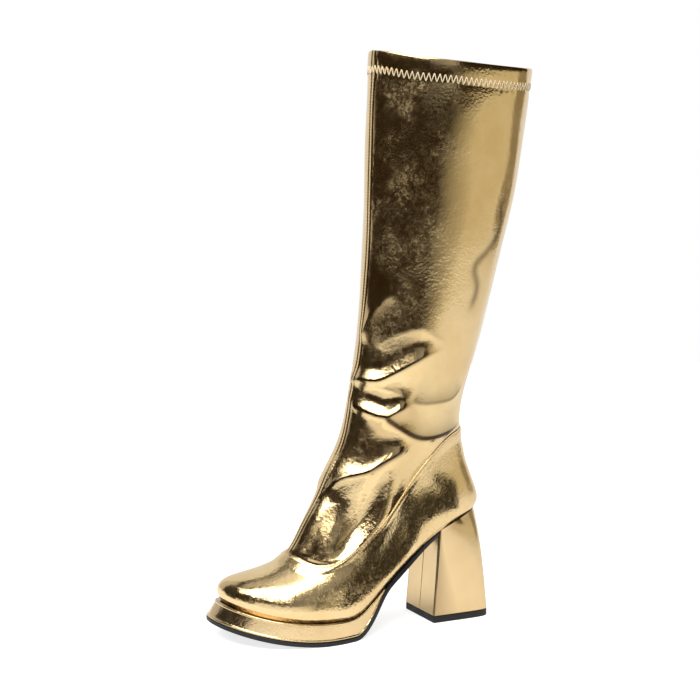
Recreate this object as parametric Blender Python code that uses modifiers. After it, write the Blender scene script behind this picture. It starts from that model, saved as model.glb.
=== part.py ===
# Platform boot for the left foot: a hollow upper and shaft on a wrapped platform and a flared block heel.
# Frame: toe towards -Y, outer side towards +X, +Z up, ground at z = 0, origin under the middle of the boot.
# Sizes and tables are in millimetres, and the meshes are written in metres.
from collections import namedtuple

import bmesh
import bpy
import numpy as np

MM = 0.001

# Driving sizes
WALL = 1.8  # leather and lining together
GAP = 0.3  # between pieces that meet
SEAM_GAP = 1.0  # between upper and shaft along the rings, which cross the seam on a slant
BALL_HALF_WIDTH = 40.0  # half the width of the foot at the featherline
TOE_Y = -130.5  # tip of the upper at the featherline
TOE_HEIGHT = 27.5  # featherline at the toe
TREAD_HEIGHT = 18.6  # featherline under the ball of the foot
SEAT_Y = 92.5  # back of the heel seat
SEAT_HEIGHT = 92.5  # featherline at the back of the heel
COLLAR_BACK_Y = 140.5
COLLAR_FRONT_HEIGHT = 472.0
COLLAR_BACK_HEIGHT = 458.0
COLLAR_HALF_WIDTH = 50.0

OUTSOLE_THICKNESS = 2.6
SOLE_TOE_Y = -140.5
SOLE_TOE_SPRING = 11.0
TOE_SPRING_POWER = 1.7
TREAD_FRONT_Y = -62.0  # the flat of the forefoot, front and back
TREAD_BACK_Y = -38.0
PLATFORM_RISE = 0.038  # how fast the platform's rear curves up, 1/mm
WAIST_BLEND = 4.0  # softens the turn from the platform's rear into the waist
PLATFORM_LEAST = 1.5  # the platform stops where it gets this thin
PLATFORM_BULGE = 1.0  # how far the wall swells between its edges
PLATFORM_LEDGE = 2.6  # how far the platform's top stands out from the upper
INSOLE_THICKNESS = 3.0
INSOLE_INSET = 2.2

BREAST_TOP_Y = 48.0
BREAST_BOTTOM_Y = 42.5
BREAST_CLEARANCE = 0.8  # from the outsole's end to the heel
HEEL_BACK_TOP_Y = 91.0
HEEL_BACK_BOTTOM_Y = 97.0
HEEL_TOP_HALF = 26.5
HEEL_BOTTOM_HALF = 25.3
HEEL_TOP_SQUARE = 2.6  # 2 is an ellipse, large numbers are a rectangle
HEEL_BOTTOM_SQUARE = 9.0
HEEL_FLARE_POWER = 0.8  # under 1 flares more near the seat
LIFT_THICKNESS = 6.0

# Mesh fineness
AROUND = 56
UPPER_ROWS = 16
SHAFT_ROWS = 18
SHAFT_SPREAD = 1.25  # over 1 puts more rows near the ankle
SOLE_STATIONS = 34
WAIST_STATIONS = 10
HEEL_STATIONS = 14
HEEL_LEVELS = 6
SEAM_SAMPLES = 900
PROFILE_SAMPLES = 500
PROFILE_SPARE = 4.0  # how far the profiles run past the toe
WELD_DISTANCE = 0.01
SHARP_ANGLE = 40  # degrees

GOLD = (0.55, 0.40, 0.20, 1.0)
BLACK = (0.015, 0.014, 0.013, 1.0)
LINING = (0.52, 0.43, 0.32, 1.0)
FOIL_ROUGHNESS = 0.30
RUBBER_ROUGHNESS = 0.55
LINING_ROUGHNESS = 0.8
FOIL_METALLIC = 0.9

# Height of the featherline, where the upper meets the sole, along the foot
FEATHER_COLUMNS = namedtuple("Feather", "y z")
FEATHER = [
    FEATHER_COLUMNS(*row)
    for row in (
        (-150, 33.0),
        (TOE_Y, TOE_HEIGHT),
        (-112, 23.8),
        (-92, 21.0),
        (-73, 19.2),
        (-55, TREAD_HEIGHT),
        (-42, 19.2),
        (-31.5, 22.4),
        (-19.5, 30.4),
        (-3, 43.8),
        (18.5, 61.6),
        (37.5, 73.8),
        (56, 81.8),
        (77, 88.6),
        (SEAT_Y, SEAT_HEIGHT),
        (104, 94.5),
    )
]

# The foot's middle line from above: out at the ball, in at the toe
CENTRE_COLUMNS = namedtuple("Centre", "y x")
CENTRE = [
    CENTRE_COLUMNS(*row)
    for row in (
        (-145, -17.5),
        (-125, -10.2),
        (-105, -3.8),
        (-85, 0.4),
        (-60, 2.8),
        (-25, 4.0),
        (10, 3.4),
        (40, 1.4),
        (70, 0.2),
        (90, 0.0),
        (150, 0.0),
    )
]

# Closed rings up the boot, each from its front point to its back point
# follow: how much of the featherline's dip the ring keeps; sway: how much of the middle line's curve
# fore, mid, rear: half widths along the ring; toe_square, heel_square: 2 is an ellipse, more is blunter
RING_COLUMNS = namedtuple(
    "Ring",
    "name front_y front_z back_y back_z follow sway fore mid rear toe_square heel_square",
)
RINGS = [
    RING_COLUMNS(*row)
    for row in (
        ("featherline", TOE_Y, TOE_HEIGHT, SEAT_Y, SEAT_HEIGHT, 1.0, 1.0, BALL_HALF_WIDTH, 29.5, 26.5, 5.0, 3.0),
        ("low wall", -133.4, 34.0, 95.6, 97.5, 1.0, 1.0, 43.0, 32.5, 29.5, 4.8, 3.0),
        ("toe wall", -133.0, 41.0, 95.2, 104.0, 1.0, 1.0, 43.5, 34.2, 31.2, 4.4, 2.9),
        ("toe corner", -129.0, 47.0, 93.2, 110.0, 1.0, 1.0, 42.5, 34.4, 31.2, 3.9, 2.8),
        ("toe top", -120.0, 51.5, 90.6, 116.5, 0.95, 1.0, 41.5, 33.6, 30.2, 3.3, 2.7),
        ("vamp", -103.5, 55.8, 87.8, 123.5, 0.85, 1.0, 40.0, 32.4, 28.8, 2.7, 2.6),
        ("throat", -84.5, 65.0, 84.8, 131.5, 0.75, 1.0, 39.0, 31.2, 27.4, 2.3, 2.5),
        ("low instep", -67.0, 91.0, 81.8, 143.0, 0.55, 0.9, 38.0, 30.2, 26.2, 2.0, 2.4),
        ("instep", -56.0, 109.0, 79.4, 155.0, 0.40, 0.7, 37.5, 29.8, 26.0, 2.0, 2.3),
        ("high instep", -44.6, 131.0, 78.0, 168.0, 0.25, 0.45, 37.0, 31.0, 27.6, 2.0, 2.2),
        ("ankle front", -32.0, 154.0, 78.5, 183.0, 0.12, 0.2, 36.5, 33.6, 31.0, 2.0, 2.1),
        ("ankle", -25.0, 178.0, 82.0, 200.0, 0.05, 0.05, 37.3, 36.6, 35.2, 2.0, 2.0),
        ("low leg", -17.3, 215.0, 90.0, 228.0, 0.0, 0.0, 40.0, 40.0, 39.6, 2.0, 2.0),
        ("low calf", -9.8, 284.0, 105.2, 284.0, 0.0, 0.0, 45.0, 45.0, 45.0, 2.0, 2.0),
        ("calf", -5.9, 360.0, 123.8, 352.0, 0.0, 0.0, 48.5, 48.5, 48.5, 2.0, 2.0),
        ("high calf", -4.0, 425.0, 134.6, 414.0, 0.0, 0.0, 50.0, 50.0, 50.0, 2.0, 2.0),
        (
            *("collar", -2.0, COLLAR_FRONT_HEIGHT, COLLAR_BACK_Y, COLLAR_BACK_HEIGHT, 0.0, 0.0),
            *(COLLAR_HALF_WIDTH, COLLAR_HALF_WIDTH, COLLAR_HALF_WIDTH, 2.0, 2.0),
        ),
    )
]

# The lapped seam between upper and shaft, seen from the side
SEAM_COLUMNS = namedtuple("Seam", "y z")
SEAM = [
    SEAM_COLUMNS(*row)
    for row in (
        (-106, 94.0),
        (-90, 77.0),
        (-82, 69.8),
        (-74.5, 64.8),
        (-65, 62.4),
        (-55, 63.4),
        (-43, 69.3),
        (-22.5, 86.0),
        (-4.5, 102.7),
        (13.5, 122.0),
        (32.5, 140.3),
        (54, 155.0),
        (76, 161.5),
        (104, 164.0),
    )
]

# Outlines of the flat layers, each from its toe to its heel end, as half widths on the same plan
PLAN_COLUMNS = namedtuple("Plan", "toe_y heel_y fore mid rear toe_square heel_square")
PLANS = {
    "insole": PLAN_COLUMNS(TOE_Y + INSOLE_INSET, SEAT_Y - INSOLE_INSET, 37.8, 27.3, 24.3, 5.0, 3.0),
    "platform_top": PLAN_COLUMNS(TOE_Y - PLATFORM_LEDGE, SEAT_Y, 43.0, 31.6, 26.5, 5.4, 3.0),
    "platform_bottom": PLAN_COLUMNS(SOLE_TOE_Y, SEAT_Y, 45.2, 32.4, 26.5, 5.4, 3.0),
    "outsole": PLAN_COLUMNS(SOLE_TOE_Y, SEAT_Y, 45.2, 32.0, 26.5, 5.4, 3.0),
}
FORE_SHARE, MID_SHARE, REAR_SHARE = 0.30, 0.62, 0.90  # where along a ring the half widths hold


def natural_spline(knots, values):
    """A curve with smooth bends through the values, straight at both ends."""
    knots = np.asarray(knots, float)
    values = np.asarray(values, float)
    step = np.diff(knots)
    slope = np.diff(values) / step
    count = len(knots)
    matrix = np.eye(count)
    right = np.zeros(count)
    for i in range(1, count - 1):
        matrix[i, i - 1 : i + 2] = step[i - 1], 2 * (step[i - 1] + step[i]), step[i]
        right[i] = 6 * (slope[i] - slope[i - 1])
    bend = np.linalg.solve(matrix, right)

    def curve(at):
        at = np.asarray(at, float)
        i = np.clip(np.searchsorted(knots, at) - 1, 0, count - 2)
        before = at - knots[i]
        after = knots[i + 1] - at
        cubic = (bend[i] * after**3 + bend[i + 1] * before**3) / (6 * step[i])
        first = (values[i] / step[i] - bend[i] * step[i] / 6) * after
        second = (values[i + 1] / step[i] - bend[i + 1] * step[i] / 6) * before
        return cubic + first + second

    return curve


def columns(rows):
    """The columns of a table by name, as arrays."""
    return {name: np.array([getattr(row, name) for row in rows]) for name in rows[0]._fields}


def soft_step(value, start, end):
    """From 0 to 1 with no kink at either end."""
    share = np.clip((value - start) / (end - start), 0, 1)
    return share**3 * (share * (6 * share - 15) + 10)


def spline_of(rows):
    """The curve through a table of two columns."""
    return natural_spline(*columns(rows).values())


feather_z = spline_of(FEATHER)
centre_x = spline_of(CENTRE)
seam_z = spline_of(SEAM)


def plan_half_width(share, fore, mid, rear, toe_square, heel_square):
    """Half the width at a share of the length from the toe: the three widths, rounded off at both ends."""
    width = fore + (mid - fore) * soft_step(share, FORE_SHARE, MID_SHARE)
    width = width + (rear - mid) * soft_step(share, MID_SHARE, REAR_SHARE)
    off_middle = 1 - 2 * share
    power = np.where(off_middle > 0, toe_square, heel_square)
    return width * np.sqrt(np.clip(1 - np.abs(off_middle) ** power, 0, None))


# The outside of the boot as one surface of two parameters
ring_table = columns(RINGS)
ring_steps = (
    np.hypot(np.diff(ring_table["front_y"]), np.diff(ring_table["front_z"]))
    + np.hypot(np.diff(ring_table["back_y"]), np.diff(ring_table["back_z"]))
) / 2
RING_HEIGHTS = np.concatenate([[0.0], np.cumsum(ring_steps)])
COLLAR_AT = RING_HEIGHTS[-1]
ring_curves = {
    name: natural_spline(RING_HEIGHTS, ring_table[name])
    for name in RING_COLUMNS._fields
    if name != "name"
}


def boot_surface(height, angle):
    """Points at a height along the rings and an angle around them, 0 at the front and a half turn at the back."""
    ring = {name: curve(height) for name, curve in ring_curves.items()}
    share = (1 - np.cos(angle)) / 2
    y = ring["front_y"] + (ring["back_y"] - ring["front_y"]) * share
    half = plan_half_width(
        share, ring["fore"], ring["mid"], ring["rear"], ring["toe_square"], ring["heel_square"]
    )
    x = ring["sway"] * centre_x(y) + np.sign(np.sin(angle)) * half
    front_feather = feather_z(ring["front_y"])
    back_feather = feather_z(ring["back_y"])
    dip = feather_z(y) - front_feather - (back_feather - front_feather) * share
    z = ring["front_z"] + (ring["back_z"] - ring["front_z"]) * share + ring["follow"] * dip
    return np.stack(np.broadcast_arrays(x, y, z), axis=-1)


def seam_height(angle):
    """Where each line up the boot first crosses the seam."""
    heights = np.linspace(0, COLLAR_AT / 2, SEAM_SAMPLES)
    points = boot_surface(heights[:, None], angle[None, :])
    above = points[..., 2] - seam_z(points[..., 1])
    first = np.argmax(above > 0, axis=0)
    column = np.arange(len(angle))
    low = above[first - 1, column]
    high = above[first, column]
    return heights[first - 1] + (heights[first] - heights[first - 1]) * low / (low - high)


def seam_clearance(seam, angle):
    """Half the seam's gap, as a step in height along the rings."""
    climb = boot_surface(seam + 1, angle) - boot_surface(seam - 1, angle)
    return SEAM_GAP / np.linalg.norm(climb, axis=-1)


# Profiles of the sole, seen from the side


def offset_down(y, z, distance):
    """The same curve moved along its own normal, downwards."""
    slope = np.arctan(np.gradient(z, y))
    return y + distance * np.sin(slope), z - distance * np.cos(slope)


PROFILE_Y = np.linspace(SOLE_TOE_Y - PROFILE_SPARE, SEAT_Y, PROFILE_SAMPLES)


def platform_tread_z(y):
    """Underside of the platform's outsole: toe spring, flat tread and the curved rear."""
    spring = np.clip((TREAD_FRONT_Y - y) / (TREAD_FRONT_Y - SOLE_TOE_Y), 0, None)
    rise = np.clip(y - TREAD_BACK_Y, 0, None)
    return SOLE_TOE_SPRING * spring**TOE_SPRING_POWER + PLATFORM_RISE * rise**2


def waist_tread_z(y):
    """Underside behind the tread: the lower of the platform's rear and the waist, blended."""
    below_y, below_z = offset_down(PROFILE_Y, feather_z(PROFILE_Y), OUTSOLE_THICKNESS + 2 * GAP)
    waist = np.interp(y, below_y, below_z)
    return -WAIST_BLEND * np.logaddexp(-platform_tread_z(y) / WAIST_BLEND, -waist / WAIST_BLEND)


def tread_z(y):
    """Underside of the outsole from toe to heel breast."""
    behind = np.maximum(waist_tread_z(y) - waist_tread_z(TREAD_BACK_Y), 0)
    return np.where(y < TREAD_BACK_Y, platform_tread_z(y), behind)


def above_tread_z(y, distance):
    """The tread's profile moved up along its normal."""
    moved_y, moved_z = offset_down(PROFILE_Y, tread_z(PROFILE_Y), -distance)
    return np.interp(y, moved_y, moved_z)


def platform_bottom_z(y):
    """The platform lies a gap above the outsole."""
    return above_tread_z(y, OUTSOLE_THICKNESS + GAP)


def platform_end_y():
    """Where the platform, tapering into the waist, gets down to its least thickness."""
    y = PROFILE_Y[PROFILE_Y > TREAD_BACK_Y]
    thickness = feather_z(y) - GAP - platform_bottom_z(y)
    return y[np.argmax(thickness < PLATFORM_LEAST)]


# Mesh makers


def new_object(name, points, faces, material):
    """A mesh object in metres, its faces turned outwards and coinciding corners joined."""
    mesh = bpy.data.meshes.new(name)
    mesh.from_pydata((points.reshape(-1, 3) * MM).tolist(), [], faces)
    shape = bmesh.new()
    shape.from_mesh(mesh)
    bmesh.ops.remove_doubles(shape, verts=shape.verts, dist=WELD_DISTANCE * MM)
    bmesh.ops.recalc_face_normals(shape, faces=shape.faces)
    shape.to_mesh(mesh)
    shape.free()
    mesh.shade_smooth()
    mesh.set_sharp_from_angle(angle=np.radians(SHARP_ANGLE))
    mesh.materials.append(material)
    made = bpy.data.objects.new(name, mesh)
    made.parent = boot
    boot_collection.objects.link(made)
    return made


def grid_faces(rows, count, closed):
    """Quads between neighbouring rows of points."""
    last = count if closed else count - 1
    return [
        (r * count + c, r * count + (c + 1) % count, (r + 1) * count + (c + 1) % count, (r + 1) * count + c)
        for r in range(rows - 1)
        for c in range(last)
    ]


def shell(name, points, material):
    """A hollow wall: the outside as an open tube, thickened inwards."""
    rows, count = points.shape[:2]
    made = new_object(name, points, grid_faces(rows, count, True), material)
    wall = made.modifiers.new("wall", "SOLIDIFY")
    wall.thickness = WALL * MM
    wall.offset = -1
    wall.use_even_offset = True
    return made


def slab(name, sections, material):
    """A solid lofted through closed sections, with its first and last section closed."""
    stations, count = sections.shape[:2]
    faces = grid_faces(stations, count, True)
    faces.append(tuple(range(count)))
    faces.append(tuple(range((stations - 1) * count, stations * count)))
    return new_object(name, sections, faces, material)


def mirrored_section(centre, half, y, z):
    """Both sides of a section: the layers down the outer side, then up the inner side."""
    outer = np.stack([centre + half, y, z], axis=-1)
    inner = np.stack([centre - half, y, z], axis=-1)
    return np.concatenate([outer, inner[:, ::-1]], axis=1)


def layer_edge(plan, ends):
    """Stations and half widths of a plan from its toe to the first end, close together at both, then to the next."""
    share = (1 - np.cos(np.linspace(0, np.pi, SOLE_STATIONS))) / 2
    y = plan.toe_y + (ends[0] - plan.toe_y) * share
    for start, end in zip(ends, ends[1:]):
        y = np.concatenate([y, np.linspace(start, end, WAIST_STATIONS)[1:]])
    along = (y - plan.toe_y) / (plan.heel_y - plan.toe_y)
    half = plan_half_width(along, plan.fore, plan.mid, plan.rear, plan.toe_square, plan.heel_square)
    return y, half


def sole_slab(name, layers, ends, material):
    """A solid between outlines one above the other: each layer is a plan and a function for its height."""
    edges = [layer_edge(plan, ends) for plan, height in layers]
    y = np.stack([edge[0] for edge in edges], axis=1)
    half = np.stack([edge[1] for edge in edges], axis=1)
    z = np.stack([height(edge[0]) for edge, (plan, height) in zip(edges, layers)], axis=1)
    return slab(name, mirrored_section(centre_x(y), half, y, z), material)


def plain_material(name, colour, roughness, metallic):
    material = bpy.data.materials.new(name)
    material.use_nodes = True
    shader = material.node_tree.nodes["Principled BSDF"]
    shader.inputs["Base Color"].default_value = colour
    shader.inputs["Roughness"].default_value = roughness
    shader.inputs["Metallic"].default_value = metallic
    material.diffuse_color = colour
    return material


# The pieces


def make_upper_and_shaft():
    angle = np.linspace(0, 2 * np.pi, AROUND, endpoint=False)
    seam = seam_height(angle)
    clearance = seam_clearance(seam, angle)
    upper_top = seam - clearance
    shaft_foot = seam + clearance
    upper_share = np.linspace(0, 1, UPPER_ROWS)[:, None]
    upper_points = boot_surface(upper_share * upper_top, angle)
    shaft_share = np.linspace(0, 1, SHAFT_ROWS)[:, None] ** SHAFT_SPREAD
    shaft_points = boot_surface(shaft_foot + shaft_share * (COLLAR_AT - shaft_foot), angle)
    shell("upper", upper_points, plain_material("gold foil", GOLD, FOIL_ROUGHNESS, FOIL_METALLIC))
    shell("shaft", shaft_points, plain_material("gold foil of the leg", GOLD, FOIL_ROUGHNESS, FOIL_METALLIC))


def make_insole():
    plan = PLANS["insole"]
    layers = (
        (plan, lambda y: feather_z(y) + INSOLE_THICKNESS),
        (plan, feather_z),
    )
    sole_slab("insole", layers, [plan.heel_y], plain_material("lining", LINING, LINING_ROUGHNESS, 0.0))


def make_platform():
    top, bottom = PLANS["platform_top"], PLANS["platform_bottom"]
    middle = PLAN_COLUMNS(*[(a + b) / 2 for a, b in zip(top, bottom)])
    middle = middle._replace(
        toe_y=middle.toe_y - 2 * PLATFORM_BULGE,
        fore=middle.fore + PLATFORM_BULGE,
    )
    layers = (
        (top, lambda y: feather_z(y) - GAP),
        (middle, lambda y: (feather_z(y) - GAP + platform_bottom_z(y)) / 2),
        (bottom, platform_bottom_z),
    )
    wrap = plain_material("platform wrap", GOLD, FOIL_ROUGHNESS, FOIL_METALLIC)
    sole_slab("platform", layers, [platform_end_y()], wrap)


def make_outsole():
    plan = PLANS["outsole"]
    layers = (
        (plan, lambda y: above_tread_z(y, OUTSOLE_THICKNESS)),
        (plan, tread_z),
    )
    ends = [platform_end_y(), BREAST_TOP_Y - BREAST_CLEARANCE]
    rubber = plain_material("outsole rubber", BLACK, RUBBER_ROUGHNESS, 0.0)
    sole_slab("outsole", layers, ends, rubber)


def heel_half_outline(share):
    """Outer half of the heel's plan from breast corner to back, share 0 at the seat and 1 at the ground."""
    blend = share**HEEL_FLARE_POWER
    square = HEEL_TOP_SQUARE + (HEEL_BOTTOM_SQUARE - HEEL_TOP_SQUARE) * blend
    half = HEEL_TOP_HALF + (HEEL_BOTTOM_HALF - HEEL_TOP_HALF) * blend
    front = BREAST_TOP_Y + (BREAST_BOTTOM_Y - BREAST_TOP_Y) * share
    back = HEEL_BACK_TOP_Y + (HEEL_BACK_BOTTOM_Y - HEEL_BACK_TOP_Y) * blend
    turn = np.linspace(0, np.pi / 2, HEEL_STATIONS)
    x = half * np.clip(np.cos(turn), 0, None) ** (2 / square)
    x[-1] = 0
    y = front + (back - front) * np.sin(turn) ** (2 / square)
    return x, y


def make_heel():
    shares = np.linspace(0, 1, HEEL_LEVELS)
    outlines = [heel_half_outline(share) for share in shares]
    half = np.stack([outline[0] for outline in outlines], axis=1)
    y = np.stack([outline[1] for outline in outlines], axis=1)
    top = feather_z(y) - GAP
    bottom = LIFT_THICKNESS + GAP
    z = top + (bottom - top) * shares
    wrap = plain_material("heel wrap", GOLD, FOIL_ROUGHNESS, FOIL_METALLIC)
    slab("heel", mirrored_section(0 * y, half, y, z), wrap)


def make_heel_lift():
    half, y = heel_half_outline(1.0)
    half = np.stack([half, half], axis=1)
    y = np.stack([y, y], axis=1)
    z = np.stack([np.full(HEEL_STATIONS, LIFT_THICKNESS), np.zeros(HEEL_STATIONS)], axis=1)
    rubber = plain_material("heel rubber", BLACK, RUBBER_ROUGHNESS, 0.0)
    slab("heel_lift", mirrored_section(0 * y, half, y, z), rubber)


for old in list(bpy.data.objects):
    bpy.data.objects.remove(old, do_unlink=True)

boot_collection = bpy.data.collections.new("platform boot")
bpy.context.scene.collection.children.link(boot_collection)
boot = bpy.data.objects.new("platform_boot", None)
boot_collection.objects.link(boot)

make_upper_and_shaft()
make_insole()
make_platform()
make_outsole()
make_heel()
make_heel_lift()
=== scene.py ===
import math

import bmesh
import bpy
import numpy as np
from mathutils import Matrix


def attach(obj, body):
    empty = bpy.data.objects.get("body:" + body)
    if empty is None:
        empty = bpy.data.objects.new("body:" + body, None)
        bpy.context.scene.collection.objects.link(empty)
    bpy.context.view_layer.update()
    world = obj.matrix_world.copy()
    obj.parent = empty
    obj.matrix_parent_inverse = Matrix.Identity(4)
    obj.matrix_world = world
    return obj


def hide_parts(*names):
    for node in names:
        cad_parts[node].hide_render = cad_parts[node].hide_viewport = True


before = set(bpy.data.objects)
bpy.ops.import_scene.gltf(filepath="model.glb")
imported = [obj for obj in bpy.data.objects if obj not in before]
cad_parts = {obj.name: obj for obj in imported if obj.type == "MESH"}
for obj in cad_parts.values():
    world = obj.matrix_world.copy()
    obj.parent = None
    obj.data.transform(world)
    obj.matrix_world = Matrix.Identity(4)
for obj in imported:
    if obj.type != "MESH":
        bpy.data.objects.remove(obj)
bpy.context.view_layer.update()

# Platform boot in gold foil leather. Sizes are in millimetres in the boot's own frame:
# toe at -Y, outer side at +X, ground at z = 0. Turns go round the leg from 0 at the front over +X to 180 at the back.
mm = 0.001

bootShape = {
    # y, z of the line where upper and sole meet
    "feather": [
        (-150, 36.5), (-130.5, 29.8), (-112, 24.8), (-92, 21.3), (-73, 19.2), (-55, 18.6), (-42, 19.2), (-31.5, 22.4),
        (-19.5, 30.4), (-3, 43.8), (18.5, 61.6), (37.5, 73.8), (56, 81.8), (77, 88.6), (92.5, 92.5), (104, 94.5),
    ],
    # y, x of the foot's middle line
    "centre": [
        (-145, -17.5), (-125, -10.2), (-105, -3.8), (-85, 0.4), (-60, 2.8), (-25, 4.0), (10, 3.4), (40, 1.4),
        (70, 0.2), (90, 0.0), (150, 0.0),
    ],
    # front y, front z, back y, back z, follow, sway, fore, mid, rear, toe square, heel square
    "rings": [
        (-130.5, 29.8, 92.5, 92.5, 1.0, 1.0, 40.0, 29.5, 26.5, 5.0, 3.0),
        (-133.4, 36.0, 95.6, 97.5, 1.0, 1.0, 43.0, 32.5, 28.6, 4.8, 3.0),
        (-133.0, 42.4, 95.2, 104.0, 1.0, 1.0, 43.5, 34.2, 30.2, 4.4, 2.9),
        (-129.0, 47.6, 93.2, 110.0, 1.0, 1.0, 42.5, 34.4, 31.1, 3.9, 2.8),
        (-120.0, 51.5, 90.6, 116.5, 0.95, 1.0, 41.5, 33.6, 31.2, 3.3, 2.7),
        (-103.5, 55.8, 87.8, 123.5, 0.85, 1.0, 40.0, 32.4, 30.3, 2.7, 2.6),
        (-84.5, 65.0, 84.8, 131.5, 0.75, 1.0, 39.0, 31.2, 28.6, 2.3, 2.5),
        (-67.0, 91.0, 81.8, 143.0, 0.55, 0.9, 38.0, 30.2, 26.8, 2.0, 2.4),
        (-56.0, 109.0, 79.4, 155.0, 0.40, 0.7, 37.5, 29.8, 26.0, 2.0, 2.3),
        (-44.6, 131.0, 78.0, 168.0, 0.25, 0.45, 37.0, 31.0, 27.6, 2.0, 2.2),
        (-32.0, 154.0, 78.5, 183.0, 0.12, 0.2, 36.5, 33.6, 31.0, 2.0, 2.1),
        (-25.0, 178.0, 82.0, 200.0, 0.05, 0.05, 37.3, 36.6, 35.2, 2.0, 2.0),
        (-17.3, 215.0, 90.0, 228.0, 0.0, 0.0, 40.0, 40.0, 39.6, 2.0, 2.0),
        (-9.8, 284.0, 105.2, 284.0, 0.0, 0.0, 45.0, 45.0, 45.0, 2.0, 2.0),
        (-5.9, 360.0, 123.8, 352.0, 0.0, 0.0, 48.5, 48.5, 48.5, 2.0, 2.0),
        (-4.0, 425.0, 134.6, 414.0, 0.0, 0.0, 50.0, 50.0, 50.0, 2.0, 2.0),
        (-2.0, 472.0, 140.5, 458.0, 0.0, 0.0, 50.0, 50.0, 50.0, 2.0, 2.0),
    ],
    # y, z of the lapped seam between upper and leg, seen from the side
    "seam": [
        (-106, 94.0), (-90, 77.0), (-82, 69.8), (-74.5, 64.8), (-65, 62.4), (-55, 63.4), (-43, 69.3), (-22.5, 86.0),
        (-4.5, 102.7), (13.5, 122.0), (32.5, 140.3), (54, 155.0), (76, 161.5), (104, 164.0),
    ],
    "shares": (0.30, 0.62, 0.90),  # where along a ring the fore, mid and rear half widths hold
}


def spline(table):
    # cubic through the rows of a table, first column against the others, with no bend at either end
    table = np.asarray(table, float)
    knots, values = table[:, 0], table[:, 1:]
    step = np.diff(knots)
    slope = np.diff(values, axis=0) / step[:, None]
    matrix = np.eye(len(knots))
    inner = np.arange(1, len(knots) - 1)
    matrix[inner, inner - 1] = step[:-1]
    matrix[inner, inner] = 2 * (step[:-1] + step[1:])
    matrix[inner, inner + 1] = step[1:]
    right = np.zeros_like(values)
    right[1:-1] = 6 * np.diff(slope, axis=0)
    bend = np.linalg.solve(matrix, right)

    def curve(at):
        # between two knots, a straight line plus the bend at each end times the cube of the way from the other end
        at = np.asarray(at, float)
        i = np.clip(np.searchsorted(knots, at) - 1, 0, len(knots) - 2)
        before = (at - knots[i])[..., None]
        after = (knots[i + 1] - at)[..., None]
        gap = step[i][..., None]
        cubic = (bend[i] * after**3 + bend[i + 1] * before**3) / (6 * gap)
        straight = (values[i] / gap - bend[i] * gap / 6) * after + (values[i + 1] / gap - bend[i + 1] * gap / 6) * before
        found = cubic + straight
        return found[..., 0] if found.shape[-1] == 1 else found

    return curve


def softStep(value, start, end):
    # from 0 to 1 between start and end, level at both
    share = np.clip((value - start) / (end - start), 0, 1)
    return share**3 * (share * (6 * share - 15) + 10)


def unit(vectors):
    # vectors divided by their lengths
    return vectors / np.maximum(np.linalg.norm(vectors, axis=-1, keepdims=True), 1e-9)


featherZ = spline(bootShape["feather"])
centreX = spline(bootShape["centre"])
seamZ = spline(bootShape["seam"])
rings = np.array(bootShape["rings"])
frontStep = np.hypot(np.diff(rings[:, 0]), np.diff(rings[:, 1]))
backStep = np.hypot(np.diff(rings[:, 2]), np.diff(rings[:, 3]))
ringHeights = np.concatenate([[0.0], np.cumsum((frontStep + backStep) / 2)])
collarAt = ringHeights[-1]
ringAt = spline(np.column_stack([ringHeights, rings]))


def halfWidth(share, fore, mid, rear, toeSquare, heelSquare):
    # the three widths joined by soft steps, times the root of 1 - |1 - 2 share|^square, which rounds both ends
    foreAt, midAt, rearAt = bootShape["shares"]
    width = fore + (mid - fore) * softStep(share, foreAt, midAt) + (rear - mid) * softStep(share, midAt, rearAt)
    off = 1 - 2 * share
    return width * np.sqrt(np.clip(1 - np.abs(off) ** np.where(off > 0, toeSquare, heelSquare), 0, None))


def bootPoint(height, angle):
    # ring sizes read at the height; y from front to back point by (1 - cos)/2; x is the swayed middle line plus or
    # minus the half width; z is the straight line between the two points plus a share of the featherline's dip
    ring = np.moveaxis(ringAt(height), -1, 0)
    share = (1 - np.cos(angle)) / 2
    y = ring[0] + (ring[2] - ring[0]) * share
    x = ring[5] * centreX(y) + np.sign(np.sin(angle)) * halfWidth(share, *ring[6:11])
    frontDip, backDip = featherZ(ring[0]), featherZ(ring[2])
    dip = featherZ(y) - frontDip - (backDip - frontDip) * share
    z = ring[1] + (ring[3] - ring[1]) * share + ring[4] * dip
    return np.stack(np.broadcast_arrays(x, y, z), axis=-1)


def bootFrame(height, angle):
    # point, outward normal, and the lengths of a unit step up and a unit turn; the normal is around x up
    height, angle = np.broadcast_arrays(np.asarray(height, float), np.asarray(angle, float))
    up = bootPoint(height + 0.4, angle) - bootPoint(height - 0.4, angle)
    around = bootPoint(height, angle + 0.01) - bootPoint(height, angle - 0.01)
    normal = unit(np.cross(around, up))
    stretch = np.linalg.norm(up, axis=-1) / 0.8
    radius = np.linalg.norm(around, axis=-1) / 0.02
    return bootPoint(height, angle), normal, stretch, radius


def seamHeight(angle):
    # first height on each line up the boot where z passes the seam's curve
    heights = np.linspace(0, collarAt / 2, 700)
    points = bootPoint(heights[:, None], angle[None, :])
    above = points[..., 2] - seamZ(points[..., 1])
    first = np.argmax(above > 0, axis=0)
    column = np.arange(len(angle))
    low, high = above[first - 1, column], above[first, column]
    return heights[first - 1] + (heights[first] - heights[first - 1]) * low / (low - high)


seamTable = np.linspace(-0.1, 2 * np.pi + 0.1, 900)
seamFound = seamHeight(seamTable)


def signedTurn(angle):
    # degrees round from the front, between -180 and 180
    return np.degrees(np.angle(np.exp(1j * angle)))


def spotsAt(turn, z, spots):
    # sum of spots, each its amount * exp(-(turn off / reach)^2 - (height off / reach)^2)
    total = np.zeros(np.broadcast(turn, z).shape)
    for turnAt, zAt, around, up, amount in spots:
        off = (turn - turnAt + 180) % 360 - 180
        total += amount * np.exp(-((off / around) ** 2) - ((z - zAt) / up) ** 2)
    return total


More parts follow.
